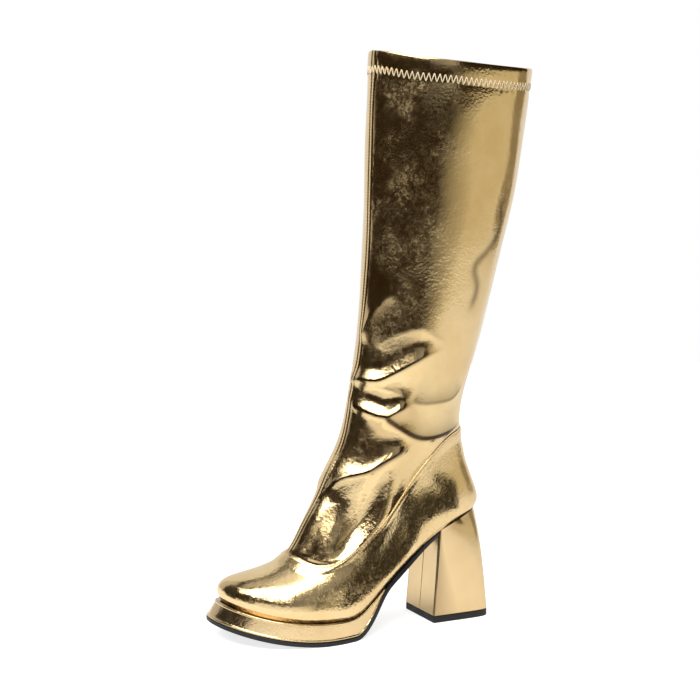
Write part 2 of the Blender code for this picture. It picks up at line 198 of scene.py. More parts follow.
def seamAt(angle):
    # seam height read from the table
    return np.interp(np.mod(angle, 2 * np.pi), seamTable, seamFound)


def heightAt(turn, z):
    # height along the rings at which a line up the boot reaches z
    angle = np.radians(turn)
    heights = np.linspace(0, collarAt, 1200)
    reached = bootPoint(heights[:, None], angle[None, :])[..., 2]
    return heights[np.argmin(np.abs(reached - z), axis=0)]


# Meshes


def addObject(name, mesh, material, node=None):
    # one finished piece on the root body, in place of a CAD node where it re-models one
    mesh.materials.append(material)
    made = bpy.data.objects.new(name, mesh)
    bpy.context.scene.collection.objects.link(made)
    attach(made, "root")
    if node:
        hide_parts(node)
    print(name, len(mesh.vertices), "points", len(mesh.polygons), "faces")


def gridQuads(rows, count, loopRows, loopCount):
    # corner numbers of the quads between neighbouring rows and columns, wrapped round where the grid closes
    r = np.arange(rows if loopRows else rows - 1)[:, None]
    c = np.arange(count if loopCount else count - 1)[None, :]
    nextR, nextC = (r + 1) % rows, (c + 1) % count
    corners = [r * count + c, r * count + nextC, nextR * count + nextC, nextR * count + c]
    return np.stack(np.broadcast_arrays(*corners), axis=-1).reshape(-1, 4)


def quadMesh(name, points, quads):
    # mesh from millimetre points and quads
    mesh = bpy.data.meshes.new(name)
    mesh.vertices.add(len(points))
    mesh.vertices.foreach_set("co", (points * mm).astype(np.float32).ravel())
    mesh.loops.add(quads.size)
    mesh.loops.foreach_set("vertex_index", quads.astype(np.int32).ravel())
    mesh.polygons.add(len(quads))
    mesh.polygons.foreach_set("loop_start", np.arange(0, quads.size, 4, dtype=np.int32))
    mesh.update(calc_edges=True)
    mesh.validate()
    return mesh


def weldedMesh(name, points, quads, sharp=None):
    # mesh with coinciding corners joined, faces turned outwards and edges past the sharp angle left hard
    mesh = quadMesh(name, points, quads)
    shape = bmesh.new()
    shape.from_mesh(mesh)
    bmesh.ops.remove_doubles(shape, verts=shape.verts, dist=0.002 * mm)
    bmesh.ops.dissolve_degenerate(shape, edges=shape.edges, dist=0.001 * mm)
    bmesh.ops.recalc_face_normals(shape, faces=shape.faces)
    shape.to_mesh(mesh)
    shape.free()
    mesh.shade_smooth()
    if sharp:
        mesh.set_sharp_from_angle(angle=math.radians(sharp))
    return mesh


def meshPoints(mesh):
    # x, y and z of a finished mesh's points in millimetres
    found = np.zeros(3 * len(mesh.vertices), np.float32)
    mesh.vertices.foreach_get("co", found)
    return found.reshape(-1, 3).T / mm


def tubeMesh(name, grid):
    # closed wall: rows run up the outside, over the edge, down the inside and back; columns run round
    rows, count = grid.shape[:2]
    quads = gridQuads(rows, count, True, True)
    points = grid.reshape(-1, 3)
    a, b, c = points[quads[:, 0]], points[quads[:, 1]], points[quads[:, 2]]
    if np.einsum("ij,ij->i", a, np.cross(b, c)).sum() < 0:
        quads = quads[:, ::-1]
    mesh = quadMesh(name, points, quads)
    mesh.shade_smooth()
    return mesh


# Folds of the leather

legFolds = [
    # crest line as turn and height; rise at the crest; reach of the slopes above and below; ends that fade, in mm;
    # then how dark the painted shade line along the crease is, and its half width; shade is a soft brown painted
    # shade above the line, and its reach
    {"line": [(-22, 211), (-3, 208), (14, 208), (31, 208), (41, 210), (51, 215), (62, 221), (75, 228), (92, 234)],
     "rise": 4.2, "above": 11.0, "below": 5.5, "round": 1.8, "fade": (40, 30), "shadeLine": (0.8, 1.3), "ramp": True},
    {"line": [(26, 236), (38, 243), (49, 248), (67, 251), (82, 245), (96, 239)],
     "rise": 0.8, "above": 14.0, "below": 6.0, "round": 2.0, "fade": (14, 16), "shadeLine": (0.3, 1.6)},
    {"line": [(34, 204), (48, 202), (58, 200), (67, 196), (76, 191)],
     "rise": 1.1, "above": 6.0, "below": 4.0, "round": 1.4, "fade": (14, 8), "shadeLine": (0.7, 1.1)},
    {"line": [(70, 193.5), (82, 190), (100, 189), (119, 190), (128, 193), (138, 201)],
     "rise": 0.45, "above": 5.0, "below": 7.0, "round": 1.5, "fade": (8, 12), "shadeLine": (0.8, 1.4), "shade": (0.5, 9)},
    {"line": [(-16, 196), (4, 191), (15, 186.5), (29, 184), (41, 181), (51, 180), (59, 182.5), (68, 187), (75, 192)],
     "rise": 3.6, "above": 11.0, "below": 6.0, "round": 1.6, "fade": (48, 14), "shadeLine": (0.9, 1.6), "ramp": True},
    {"line": [(50, 180.5), (59, 175), (71, 169), (84, 163.5), (98, 160), (110, 159.5), (126, 160.5), (142, 163),
              (157, 168)],
     "rise": 1.7, "above": 9.0, "below": 4.5, "round": 1.4, "fade": (6, 24), "shadeLine": (1.9, 1.5), "shade": (0.5, 9)},
    {"line": [(6, 115), (19, 124), (25, 128.5), (35, 132), (48, 134.5), (57, 138), (66, 143.5), (75, 149), (88, 157)],
     "rise": 2.0, "above": 4.0, "below": 3.0, "round": 1.2, "fade": (22, 16), "shadeLine": (0.9, 1.6), "shade": (0.15, 4)},
    {"line": [(8, 103), (20, 109), (32, 113), (45, 115), (56, 117)],
     "rise": -2.0, "above": 15.0, "below": 45.0, "round": 3.0, "fade": (26, 24), "shadeLine": (0.0, 1.0), "ramp": True},
    {"line": [(60, 122), (69, 126), (80, 130)],
     "rise": -0.2, "above": 3.0, "below": 3.0, "round": 1.0, "fade": (8, 8), "shadeLine": (0.25, 1.8)},
    {"line": [(46, 287), (42, 284), (26, 270), (9, 250), (3, 236)],
     "rise": 1.7, "above": 6.0, "below": 9.0, "round": 1.8, "fade": (16, 14), "shadeLine": (0.0, 1.0)},
    {"line": [(131, 362), (127, 346), (131, 334), (127, 322), (118, 311), (109, 303), (109, 294),
              (115, 284), (115, 272), (110, 262)],
     "rise": -0.3, "above": 5.0, "below": 5.0, "round": 1.5, "fade": (18, 14), "shadeLine": (0.6, 3.4)},
    {"line": [(36, 70), (29, 84), (22, 104)],
     "rise": 0.4, "above": 5.0, "below": 5.0, "round": 2.0, "fade": (12, 16), "shadeLine": (0.4, 2.0)},
    {"line": [(44, 70), (46, 82), (54, 96)],
     "rise": 0.8, "above": 5.0, "below": 5.0, "round": 2.0, "fade": (12, 14), "shadeLine": (0.5, 2.0)},
    # inner side
    {"line": [(-30, 214), (-48, 219), (-66, 226), (-84, 231)],
     "rise": 2.2, "above": 8.0, "below": 5.5, "round": 1.6, "fade": (14, 24), "shadeLine": (0.7, 1.3)},
    {"line": [(-24, 199), (-40, 190), (-58, 184), (-78, 181), (-98, 184), (-118, 191)],
     "rise": 2.2, "above": 7.0, "below": 5.5, "round": 1.6, "fade": (16, 26), "shadeLine": (0.8, 1.5)},
    {"line": [(-52, 170), (-68, 165), (-86, 162), (-106, 163), (-128, 168)],
     "rise": 1.7, "above": 9.0, "below": 5.0, "round": 1.5, "fade": (16, 24), "shadeLine": (0.8, 1.3)},
    {"line": [(-12, 117), (-26, 125), (-40, 130), (-54, 136), (-66, 145), (-78, 152)],
     "rise": 1.5, "above": 8.0, "below": 6.0, "round": 1.7, "fade": (12, 18), "shadeLine": (0.8, 1.6)},
]

legSwells = [
    # turn, height, reach around, reach up, lift
    (26, 76, 24, 18, 1.7),
    (21, 107, 14, 11, 1.5),
    (34, 168, 22, 16, 2.0),
    (110, 208, 24, 14, 0.6),
    (30, 320, 18, 30, 0.5),
    (80, 300, 20, 26, -0.4),
    (122, 285, 14, 34, 0.6),
    (128, 350, 10, 30, -0.4),
    (-28, 60, 16, 28, -2.6),
    (-70, 300, 22, 40, 0.7),
    (-120, 260, 20, 34, -0.6),
    (170, 240, 18, 26, 0.6),
]

legHaze = [
    # turn, height, reach around, reach up and strength of places where the film is rubbed dull
    (32, 436, 22, 15, 1.3),
    (22, 398, 16, 8, 0.7),
    (40, 364, 12, 16, 1.2),
    (16, 344, 10, 12, 1.1),
    (32, 316, 20, 13, 1.0),
    (64, 332, 12, 26, 0.8),
    (66, 392, 10, 20, 0.7),
    (50, 270, 18, 18, 0.8),
    (34, 240, 24, 18, 1.0),
    (20, 196, 14, 10, 0.8),
    (30, 150, 24, 16, 0.8),
    (38, 88, 26, 26, 0.9),
    (-40, 400, 26, 40, 0.6),
    (-110, 330, 30, 40, 0.4),
    (160, 380, 20, 50, 0.4),
]

hazeFit = {"slow": 5.0, "quick": 3.0}  # how far the slow and the quick sines draw the outlines about


def hazeAt(points, angle):
    # spots whose outlines are drawn about by sines of turn and height
    turn, z = signedTurn(angle), points[..., 2]
    wanderTurn = hazeFit["slow"] * np.sin(z / 5.5 + turn / 9) + hazeFit["quick"] * np.sin(z / 2.3)
    wanderZ = hazeFit["slow"] * np.sin(turn / 6 + z / 13) + hazeFit["quick"] * np.sin(turn / 2.7)
    return np.clip(spotsAt(turn + wanderTurn, z + wanderZ, legHaze), 0, 1)


foldFit = {
    "samples": 160, "pad": 8, "smooth": 3.5,  # points along a crest line and how they are evened out
    "early": 0.25, "soft": 0.12, "far": (18, 30), "endLift": 4, "endShade": 2,  # fades, and the ease of a ramp's foot
}


def crestLine(fold):
    # evened points, tangents, normals and upward directions along a fold's crest, and its fading towards both ends
    line = np.array(fold["line"], float)
    along = np.linspace(0, len(line) - 1, foldFit["samples"])
    path = spline(np.column_stack([np.arange(len(line)), line]))(along)
    crest, normal, _, _ = bootFrame(heightAt(path[:, 0], path[:, 1]), np.radians(path[:, 0]))
    pad = foldFit["pad"]
    weights = np.exp(-0.5 * (np.arange(-pad, pad + 1) / foldFit["smooth"]) ** 2)
    padded = np.concatenate([np.repeat(crest[:1], pad, 0), crest, np.repeat(crest[-1:], pad, 0)])
    crest = np.stack([np.convolve(padded[:, i], weights / weights.sum(), "valid") for i in range(3)], axis=1)
    tangent = unit(np.gradient(crest, axis=0))
    upward = np.cross(normal, tangent)
    upward = unit(upward * np.sign(upward[:, 2:]))
    travelled = np.concatenate([[0], np.cumsum(np.linalg.norm(np.diff(crest, axis=0), axis=1))])
    fadeIn, fadeOut = fold["fade"]
    early, end = foldFit["early"], travelled[-1]
    rising = softStep(travelled, -fadeIn * early, fadeIn)
    falling = softStep(travelled, end - fadeOut, end + fadeOut * early)
    return crest, tangent, normal, upward, rising * (1 - falling)


def foldLift(points, angle):
    # each fold lifts the leather by rise * exp(-(sqrt(d^2 + round^2) - round) / reach), d the distance from its crest
    # line, with one reach above the crest and another below; a ramp falls straight above the crest, as
    # soft * log(1 + exp((1 - d / reach) / soft)); the painted shade line of a crease is exp(-(d / half width)^2), with
    # a soft painted shade reaching above it; both fade towards the ends of the line and on the far side of the boot
    flat = points.reshape(-1, 3)
    lift = np.zeros(len(flat))
    shadeLine = np.zeros(len(flat))
    for fold in legFolds:
        crest, tangent, normal, upward, taper = crestLine(fold)
        reach = 5 * max(fold["above"], fold["below"])
        near = np.all((flat > crest.min(0) - reach) & (flat < crest.max(0) + reach), axis=1)
        found = flat[near]
        closest = np.argmin(((found[:, None, :] - crest[None]) ** 2).sum(-1), axis=1)
        offset = found - crest[closest]
        d = (offset * upward[closest]).sum(-1)
        past = np.abs((offset * tangent[closest]).sum(-1))
        past = np.where((closest == 0) | (closest == len(crest) - 1), past, 0)
        fade = taper[closest] * (1 - softStep(np.abs((offset * normal[closest]).sum(-1)), *foldFit["far"]))
        slope = np.where(d > 0, fold["above"], fold["below"])
        bump = np.exp(-(np.sqrt(d**2 + fold["round"] ** 2) - fold["round"]) / slope)
        if fold.get("ramp"):
            soft = foldFit["soft"]
            bump = np.where(d > 0, soft * np.logaddexp(0, (1 - d / fold["above"]) / soft), bump)
        lift[near] += fold["rise"] * fade * bump * np.exp(-((past / foldFit["endLift"]) ** 2))
        dark, wide = fold["shadeLine"]
        shade, depth = fold.get("shade", (0, 1))
        line = np.maximum(dark * np.exp(-((d / wide) ** 2)), shade * np.exp(-np.abs(d) / depth) * (d > -wide))
        shadeLine[near] = np.maximum(shadeLine[near], fade * line * np.exp(-((past / foldFit["endShade"]) ** 2)))
    lift += spotsAt(signedTurn(angle).reshape(-1), flat[:, 2], legSwells)
    return lift.reshape(points.shape[:-1]), shadeLine.reshape(points.shape[:-1])


waveFit = {"broad": 0.30, "long": 0.35, "fine": 0.05, "fineEnds": (230, 330)}


def waveLift(points, angle):
    # waves round and up the leg, a sum of three sines with unlike lengths, the fine one only below the calf
    z = points[..., 2]
    waves = waveFit["broad"] * np.sin(z / 17 + 2.2 * np.sin(angle * 2 + 0.6)) * np.sin(angle * 3 + z / 60)
    waves = waves + waveFit["long"] * np.sin(z / 31 + 1.7 * np.cos(angle + 1.1) + 0.8)
    fine = waveFit["fine"] * np.sin(z / 8.5 + 3 * np.sin(angle * 3 + 1.7))
    return waves + fine * (1 - softStep(z, *waveFit["fineEnds"]))


seamFit = {
    "dip": 7.0, "deepest": 0.38, "starts": (32, 66), "ends": (50, 86), "power": 1.3, "lap": 0.55, "band": 0.4,
    "groove": 0.45, "line": 0.85, "lineWide": 0.7,
    # turn and height over the seam at which the hollow above the seam ends, under the fold across the instep
    "hollow": [(0, 55), (19, 57), (35, 69), (48, 72), (57, 72), (66, 65), (75, 56), (86, 47), (110, 40), (180, 40)],
}


def seamDip(gap, angle):
    # between the lapped seam and the fold across the instep the leather of both sides falls in by dip * (1 - far^power),
    # far the way from the deepest line to the seam or the fold, eased at both, fading towards the front and the back
    turn = np.abs(signedTurn(angle))
    where = softStep(turn, *seamFit["starts"]) * (1 - softStep(turn, *seamFit["ends"]))
    knots = np.array(seamFit["hollow"], float)
    share = np.clip(gap / np.interp(turn, knots[:, 0], knots[:, 1]), 0, 1)
    deep = seamFit["deepest"]
    depth = 1 - np.where(share < deep, 1 - share / deep, (share - deep) / (1 - deep)) ** seamFit["power"]
    return -seamFit["dip"] * where * 1.1 * depth**2 / (depth + 0.1)


def centreSeam(angle, radius):
    # front and back seams: a flat band either side of a groove on the middle line
    side = np.angle(np.exp(1j * angle))
    side = np.where(np.abs(side) > np.pi / 2, np.pi - np.abs(side), side)
    across = np.abs(side * radius)
    return seamFit["band"] * (1 - softStep(across, 3.0, 4.8)) - seamFit["groove"] * np.exp(-((across / 0.6) ** 2))


stitchFit = {
    "pitch": 2.5, "length": 1.6, "radius": 0.36, "inset": 1.7, "pair": 2.3, "arch": 0.28, "pairArch": 0.26,
    "pairStart": 3.0, "pairEnd": 17.0, "zigRadius": 0.37, "zigArch": 0.45, "zigProud": 0.12,
}
hemFit = {
    "depth": 14.5, "proud": 0.5, "pitch": 4.4, "tall": 7.0, "shoulder": 0.3, "roll": 1.0, "fall": 3.6,
    "sag": 1.6, "sagAt": 42, "sagWide": 20, "pucker": 0.22, "puckerWide": 6.5, "pull": 0.45, "pullWide": 3.4,
}


def topAt(angle):
    # the collar is lower at both sides than the straight line from front to back by fall * sin^2, and sags by a little
    # more in front of them
    sag = hemFit["sag"] * np.exp(-(((np.abs(signedTurn(angle)) - hemFit["sagAt"]) / hemFit["sagWide"]) ** 2))
    return collarAt - hemFit["fall"] * np.sin(angle) ** 2 - sag


def hemLift(down, angle, radius):
    # the turned edge is proud of the leg by one more layer and rolls in at the rim; the zigzag pulls its lower border in
    # and puckers it by a cosine of its own pitch
    proud = hemFit["proud"] * (1 - softStep(down, hemFit["depth"] - 1, hemFit["depth"] + 4))
    roll = hemFit["shoulder"] * np.clip(1 - down / hemFit["roll"], 0, None) ** 2
    below = down - hemFit["depth"]
    pucker = hemFit["pucker"] * np.cos(2 * np.pi * angle * radius / hemFit["pitch"])
    pucker = pucker * np.exp(-((below / hemFit["puckerWide"]) ** 4))
    return proud - roll + pucker - hemFit["pull"] * np.exp(-((below / hemFit["pullWide"]) ** 2))


def legSkin(height, angle):
    # outside of the leg: the smooth boot moved along its normal by folds, waves, seams and hem, and the painted shade
    # on it
    height, angle = np.broadcast_arrays(height, angle)
    point, normal, stretch, radius = bootFrame(height, angle)
    gap = (height - seamAt(angle)) * stretch
    down = (topAt(angle) - height) * stretch
    free = softStep(gap, 0.5, 6)
    calm = softStep(down, 8, 40)
    folds, shadeLine = foldLift(point, angle)
    lift = free * (folds + calm * waveLift(point, angle)) + seamDip(gap, angle)
    lift = lift + softStep(gap, 1, 3) * centreSeam(angle, radius) + hemLift(down, angle, radius)
    # painted shade line just above the lapped seam, under the foot's cut edge
    line = seamFit["line"] * np.exp(-(((gap - 0.1) / seamFit["lineWide"]) ** 2))
    return point, normal, lift, np.maximum(free * shadeLine, line)


def footSkin(height, angle):
    # outside of the foot: the smooth boot with the lap over the leg's lower edge and the stitched groove under it
    height, angle = np.broadcast_arrays(height, angle)
    point, normal, stretch, radius = bootFrame(height, angle)
    gap = (height - seamAt(angle)) * stretch
    lap = seamFit["lap"] * softStep(gap, -13, -4)
    groove = footFit["groove"] * np.exp(-(((gap + stitchFit["inset"]) / 0.6) ** 2))
    back = np.pi - np.abs(np.angle(np.exp(1j * angle)))
    heelSeam = footFit["heelSeam"] * np.exp(-((back * radius / 0.7) ** 2)) * softStep(height, 4, 10)
    edge = footFit["flush"] * np.exp(-((height / 1.5) ** 2))
    return point, normal, lap - groove - heelSeam + edge


# Finishes


def addAttribute(mesh, name, values):
    # values for the first points of a mesh, nothing for the rest
    full = np.zeros(len(mesh.vertices), np.float32)
    full[: values.size] = values.ravel()
    mesh.attributes.new(name, "FLOAT", "POINT").data.foreach_set("value", full)


def feed(tree, node, **inputs):
    # links or values for a node's inputs, underscores standing for spaces
    for key, value in inputs.items():
        socket = node.inputs[key.replace("_", " ")]
        if isinstance(value, bpy.types.NodeSocket):
            tree.links.new(value, socket)
        else:
            socket.default_value = value


def addNode(tree, kind, settings=None, **inputs):
    # new node with its settings and inputs
    node = tree.nodes.new(kind)
    for key, value in (settings or {}).items():
        setattr(node, key, value)
    feed(tree, node, **inputs)
    return node


def newMaterial(name):
    # material, its node tree, its shader and the piece's own coordinates
    material = bpy.data.materials.new(name)
    material.use_nodes = True
    tree = material.node_tree
    return material, tree, tree.nodes["Principled BSDF"], addNode(tree, "ShaderNodeTexCoord").outputs["Object"]


def mathNode(tree, operation, a, b):
    # a and b joined by one operation, each a number or another node's output
    node = tree.nodes.new("ShaderNodeMath")
    node.operation = operation
    for socket, value in zip(node.inputs, (a, b)):
        if isinstance(value, bpy.types.NodeSocket):
            tree.links.new(value, socket)
        else:
            socket.default_value = value
    return node.outputs[0]


def times(tree, a, b):
    # product of two values
    return mathNode(tree, "MULTIPLY", a, b)


def plus(tree, a, b):
    # sum of two values
    return mathNode(tree, "ADD", a, b)


def noise(tree, place, scale, detail=2.0, roughness=0.5, distortion=0.0):
    # cloudy values around a half
    inputs = {"Vector": place, "Scale": scale, "Detail": detail, "Roughness": roughness, "Distortion": distortion}
    return addNode(tree, "ShaderNodeTexNoise", **inputs).outputs["Fac"]


def bands(tree, place, direction, scale, distortion, detail=2.0):
    # wavy stripes across a direction
    inputs = {"Vector": place, "Scale": scale, "Distortion": distortion, "Detail": detail}
    return addNode(tree, "ShaderNodeTexWave", {"bands_direction": direction}, **inputs).outputs["Fac"]


def attribute(tree, name):
    # value that the mesh holds for each point
    return addNode(tree, "ShaderNodeAttribute", {"attribute_name": name}).outputs["Fac"]


def mixColour(tree, share, first, second):
    # from the first colour to the second by a share
    node = addNode(tree, "ShaderNodeMix", {"data_type": "RGBA"})
    tree.links.new(share, node.inputs[0])
    for socket, value in zip(node.inputs[6:8], (first, second)):
        if isinstance(value, bpy.types.NodeSocket):
            tree.links.new(value, socket)
        else:
            socket.default_value = (*value, 1)
    return node.outputs[2]


def bumped(tree, height, distance, strength=1.0, **normal):
    # normal tilted by a height, over another normal where one is given
    inputs = {"Strength": strength, "Distance": distance * mm, "Height": height, **normal}
    return addNode(tree, "ShaderNodeBump", **inputs).outputs[0]


def spread(tree, value, fromLow, fromHigh, low, high):
    # eased from low to high as the value goes between two limits
    node = addNode(tree, "ShaderNodeMapRange", {"interpolation_type": "SMOOTHSTEP"})
    tree.links.new(value, node.inputs["Value"])
    for key, number in (("From Min", fromLow), ("From Max", fromHigh), ("To Min", low), ("To Max", high)):
        node.inputs[key].default_value = number
    return node.outputs["Result"]


def foil(name, look):
    # metal film on leather: two gold tones in clouds, darkened by painted shade along creases, seams and joins; cloudy
    # roughness, duller in hazy places; crumple and wisps, then grain, as bump
    material, tree, shader, place = newMaterial(name)
    clouds = noise(tree, place, 26.0, 4.0, 0.55)
    mottle = noise(tree, place, look["mottleScale"], 9.0, 0.72, 0.7)
    tone = plus(tree, times(tree, mottle, 0.5), times(tree, spread(tree, clouds, 0.3, 0.7, 0.0, 1.0), 0.5))
    colour = mixColour(tree, tone, look["deep"], look["pale"])
    # painted shade: the mesh's shade lines draw the colour towards a dark brown
    colour = mixColour(tree, attribute(tree, "paintedShade"), colour, look["paintedShade"])
    rough = spread(tree, mottle, 0.38, 0.68, *look["roughness"])
    if look["haze"]:
        speck = spread(tree, noise(tree, place, 330.0, 6.0, 0.75), 0.38, 0.64, 0.2 * look["haze"], look["haze"])
        dull = times(tree, times(tree, attribute(tree, "haze"), speck), spread(tree, mottle, 0.36, 0.56, 0.4, 1.0))
        rough = plus(tree, rough, dull)
    crumple = noise(tree, place, look["crumpleScale"], 5.0, 0.6, 0.9)
    crumple = times(tree, crumple, spread(tree, clouds, 0.40, 0.62, 0.35, 1.0))
    wisp = times(tree, noise(tree, place, 240.0, 7.0, 0.7, 1.0), spread(tree, clouds, 0.52, 0.66, 0.0, 1.0))
    crumple = plus(tree, crumple, times(tree, wisp, look["wisp"]))
    amount = plus(tree, spread(tree, clouds, 0.42, 0.66, 0.0, 1.0), 0.35)
    if look["grainy"]:
        amount = plus(tree, amount, times(tree, attribute(tree, "grainy"), look["grainy"]))
    grain = times(tree, noise(tree, place, 460.0, 1.6, 0.55), amount)
    normal = bumped(tree, grain, look["grain"], Normal=bumped(tree, crumple, look["crumple"]))
    feed(tree, shader, Base_Color=colour, Roughness=rough, Normal=normal)
    feed(tree, shader, Metallic=1.0, Coat_Weight=look["coat"], Coat_Roughness=0.12)
    return material


def rubber(name, look):
    # black rubber with a fine cast grain and greyish scuffs
    material, tree, shader, place = newMaterial(name)
    scuff = noise(tree, place, 120.0, 6.0, 0.65)
    colour = mixColour(tree, spread(tree, scuff, 0.5, 0.8, 0.0, 1.0), look["black"], look["scuffed"])
    rough = spread(tree, scuff, 0.3, 0.7, 0.42, 0.62)
    feed(tree, shader, Base_Color=colour, Roughness=rough, Normal=bumped(tree, noise(tree, place, 2200.0), 0.05))
    return material


def knit(name, look):
    # brushed knit: two crossing waves of loops under a soft nap
    material, tree, shader, place = newMaterial(name)
    loops, ribs = bands(tree, place, "Z", 420.0, 1.5), bands(tree, place, "DIAGONAL", 320.0, 1.0, 1.0)
    colour = mixColour(tree, noise(tree, place, 90.0, 5.0), look["deep"], look["pale"])
    feed(tree, shader, Base_Color=colour, Normal=bumped(tree, times(tree, loops, ribs), 0.15))
    feed(tree, shader, Roughness=0.85, Sheen_Weight=0.2)
    return material


def thread(name, look):
    # twisted thread: slanting bands along the strand
    material, tree, shader, place = newMaterial(name)
    twist = bands(tree, place, "DIAGONAL", 900.0, 0.6)
    colour = mixColour(tree, twist, look["deep"], look["pale"])
    feed(tree, shader, Base_Color=colour, Normal=bumped(tree, twist, 0.06, 0.6), Roughness=look["roughness"])
    return material


# each finish's first colour is the dark brown of its painted shade lines
goldFoil = foil("goldFoil", {
    "paintedShade": (0.055, 0.03, 0.011), "deep": (0.75, 0.53, 0.245), "pale": (0.91, 0.70, 0.385),
    "roughness": (0.12, 0.18), "mottleScale": 170.0, "crumpleScale": 150.0, "crumple": 0.09, "grain": 0.13,
    "grainy": 0.9, "wisp": 0.6, "haze": 0.2, "coat": 0.1,
})
goldWrap = foil("goldWrap", {
    "paintedShade": (0.13, 0.075, 0.03), "deep": (0.74, 0.53, 0.27), "pale": (0.83, 0.63, 0.35),
    "roughness": (0.17, 0.23), "mottleScale": 120.0, "crumpleScale": 60.0, "crumple": 0.05, "grain": 0.03,
    "grainy": 0.0, "wisp": 0.0, "haze": 0.0, "coat": 0.1,
})
goldBand = foil("goldBand", {
    "paintedShade": (0.13, 0.075, 0.03), "deep": (0.66, 0.47, 0.23), "pale": (0.84, 0.64, 0.36),
    "roughness": (0.16, 0.27), "mottleScale": 190.0, "crumpleScale": 110.0, "crumple": 0.16, "grain": 0.16,
    "grainy": 0.0, "wisp": 1.0, "haze": 0.0, "coat": 0.1,
})
soleRubber = rubber("soleRubber", {"black": (0.005, 0.0045, 0.0045), "scuffed": (0.016, 0.015, 0.014)})
beigeKnit = knit("beigeKnit", {"deep": (0.44, 0.36, 0.26), "pale": (0.58, 0.49, 0.37)})
creamThread = thread("creamThread", {"deep": (0.72, 0.60, 0.38), "pale": (0.95, 0.86, 0.64), "roughness": 0.45})
goldThread = thread("goldThread", {"deep": (0.52, 0.37, 0.17), "pale": (0.85, 0.68, 0.40), "roughness": 0.4})
print("finishes", len(bpy.data.materials))

# Leg of the boot

legFit = {
    "columns": 330, "rows": 238, "bottomDense": 0.40, "frontDense": 0.42, "tuck": 4.6, "wall": 1.25, "rimRows": 7,
    "innerRows": 34, "grainy": 0.4,
}


def turns(count, dense):
    # angles round the boot, closer together at the front and back seams by a sine
    u = np.arange(count) / count
    return 2 * np.pi * u - dense * np.sin(4 * np.pi * u) / 2


def grainyAt(point):
    # the film is broken into fine grain over the quarters and the lower instep and smooth on the toe, heel and leg
    y, z = point[..., 1], point[..., 2]
    over = z - seamZ(np.clip(y, -100, 100))
    return softStep(y, -82, -55) * (1 - softStep(y, 48, 74)) * (1 - softStep(over, 30, 90))


def makeLeg():
    # outside rows from the tuck under the lap up to the collar, half a circle over the rim, then the plain inside down
    angle = turns(legFit["columns"], legFit["frontDense"])
    _, _, stretch, _ = bootFrame(seamAt(angle), angle)
    foot = seamAt(angle) - legFit["tuck"] / stretch
    share = np.linspace(0, 1, legFit["rows"])[:, None]
    share = share * (1 - legFit["bottomDense"]) + legFit["bottomDense"] * share**2
    point, normal, lift, shadeLine = legSkin(foot + share * (topAt(angle) - foot), angle[None, :])
    outside = point + normal * lift[..., None]
    grainy, haze = legFit["grainy"] * grainyAt(point), hazeAt(point, angle[None, :])
    wall = legFit["wall"]
    top, topNormal, topLift = point[-1], normal[-1], lift[-1]
    swing = np.linspace(0, np.pi, legFit["rimRows"] + 2)[1:-1, None, None]
    radius = (topLift + wall)[None, :, None] / 2
    across = (topLift - wall)[None, :, None] / 2 + radius * np.cos(swing)
    rim = top + topNormal * across + np.array([0, 0, 1.0]) * radius * np.sin(swing)
    inner = np.linspace(1, 0, legFit["innerRows"])[:, None]
    point, normal, lift, _ = legSkin(foot + inner * (topAt(angle) - foot), angle[None, :])
    inside = point + normal * (np.minimum(lift, 0) - wall)[..., None]
    mesh = tubeMesh("legLeather", np.concatenate([outside, rim, inside]))
    # painted shade of the creases and of the seam line, which darkens the colour
    addAttribute(mesh, "paintedShade", shadeLine)
    addAttribute(mesh, "grainy", grainy)
    addAttribute(mesh, "haze", haze)
    return mesh


addObject("legLeather", makeLeg(), goldFoil, "shaft")

# Foot of the boot

footFit = {
    "columns": 400, "rows": 120, "dense": 0.25, "wall": 1.3, "edgeRows": 6, "innerRows": 22, "turnUnder": 1.6,
    "flush": 0.3, "groove": 0.12, "heelSeam": 0.4, "line": 0.85, "lineWide": 0.9,
    "haze": 0.35, "vampHaze": 0.7, "quarterHaze": 0.5,
}


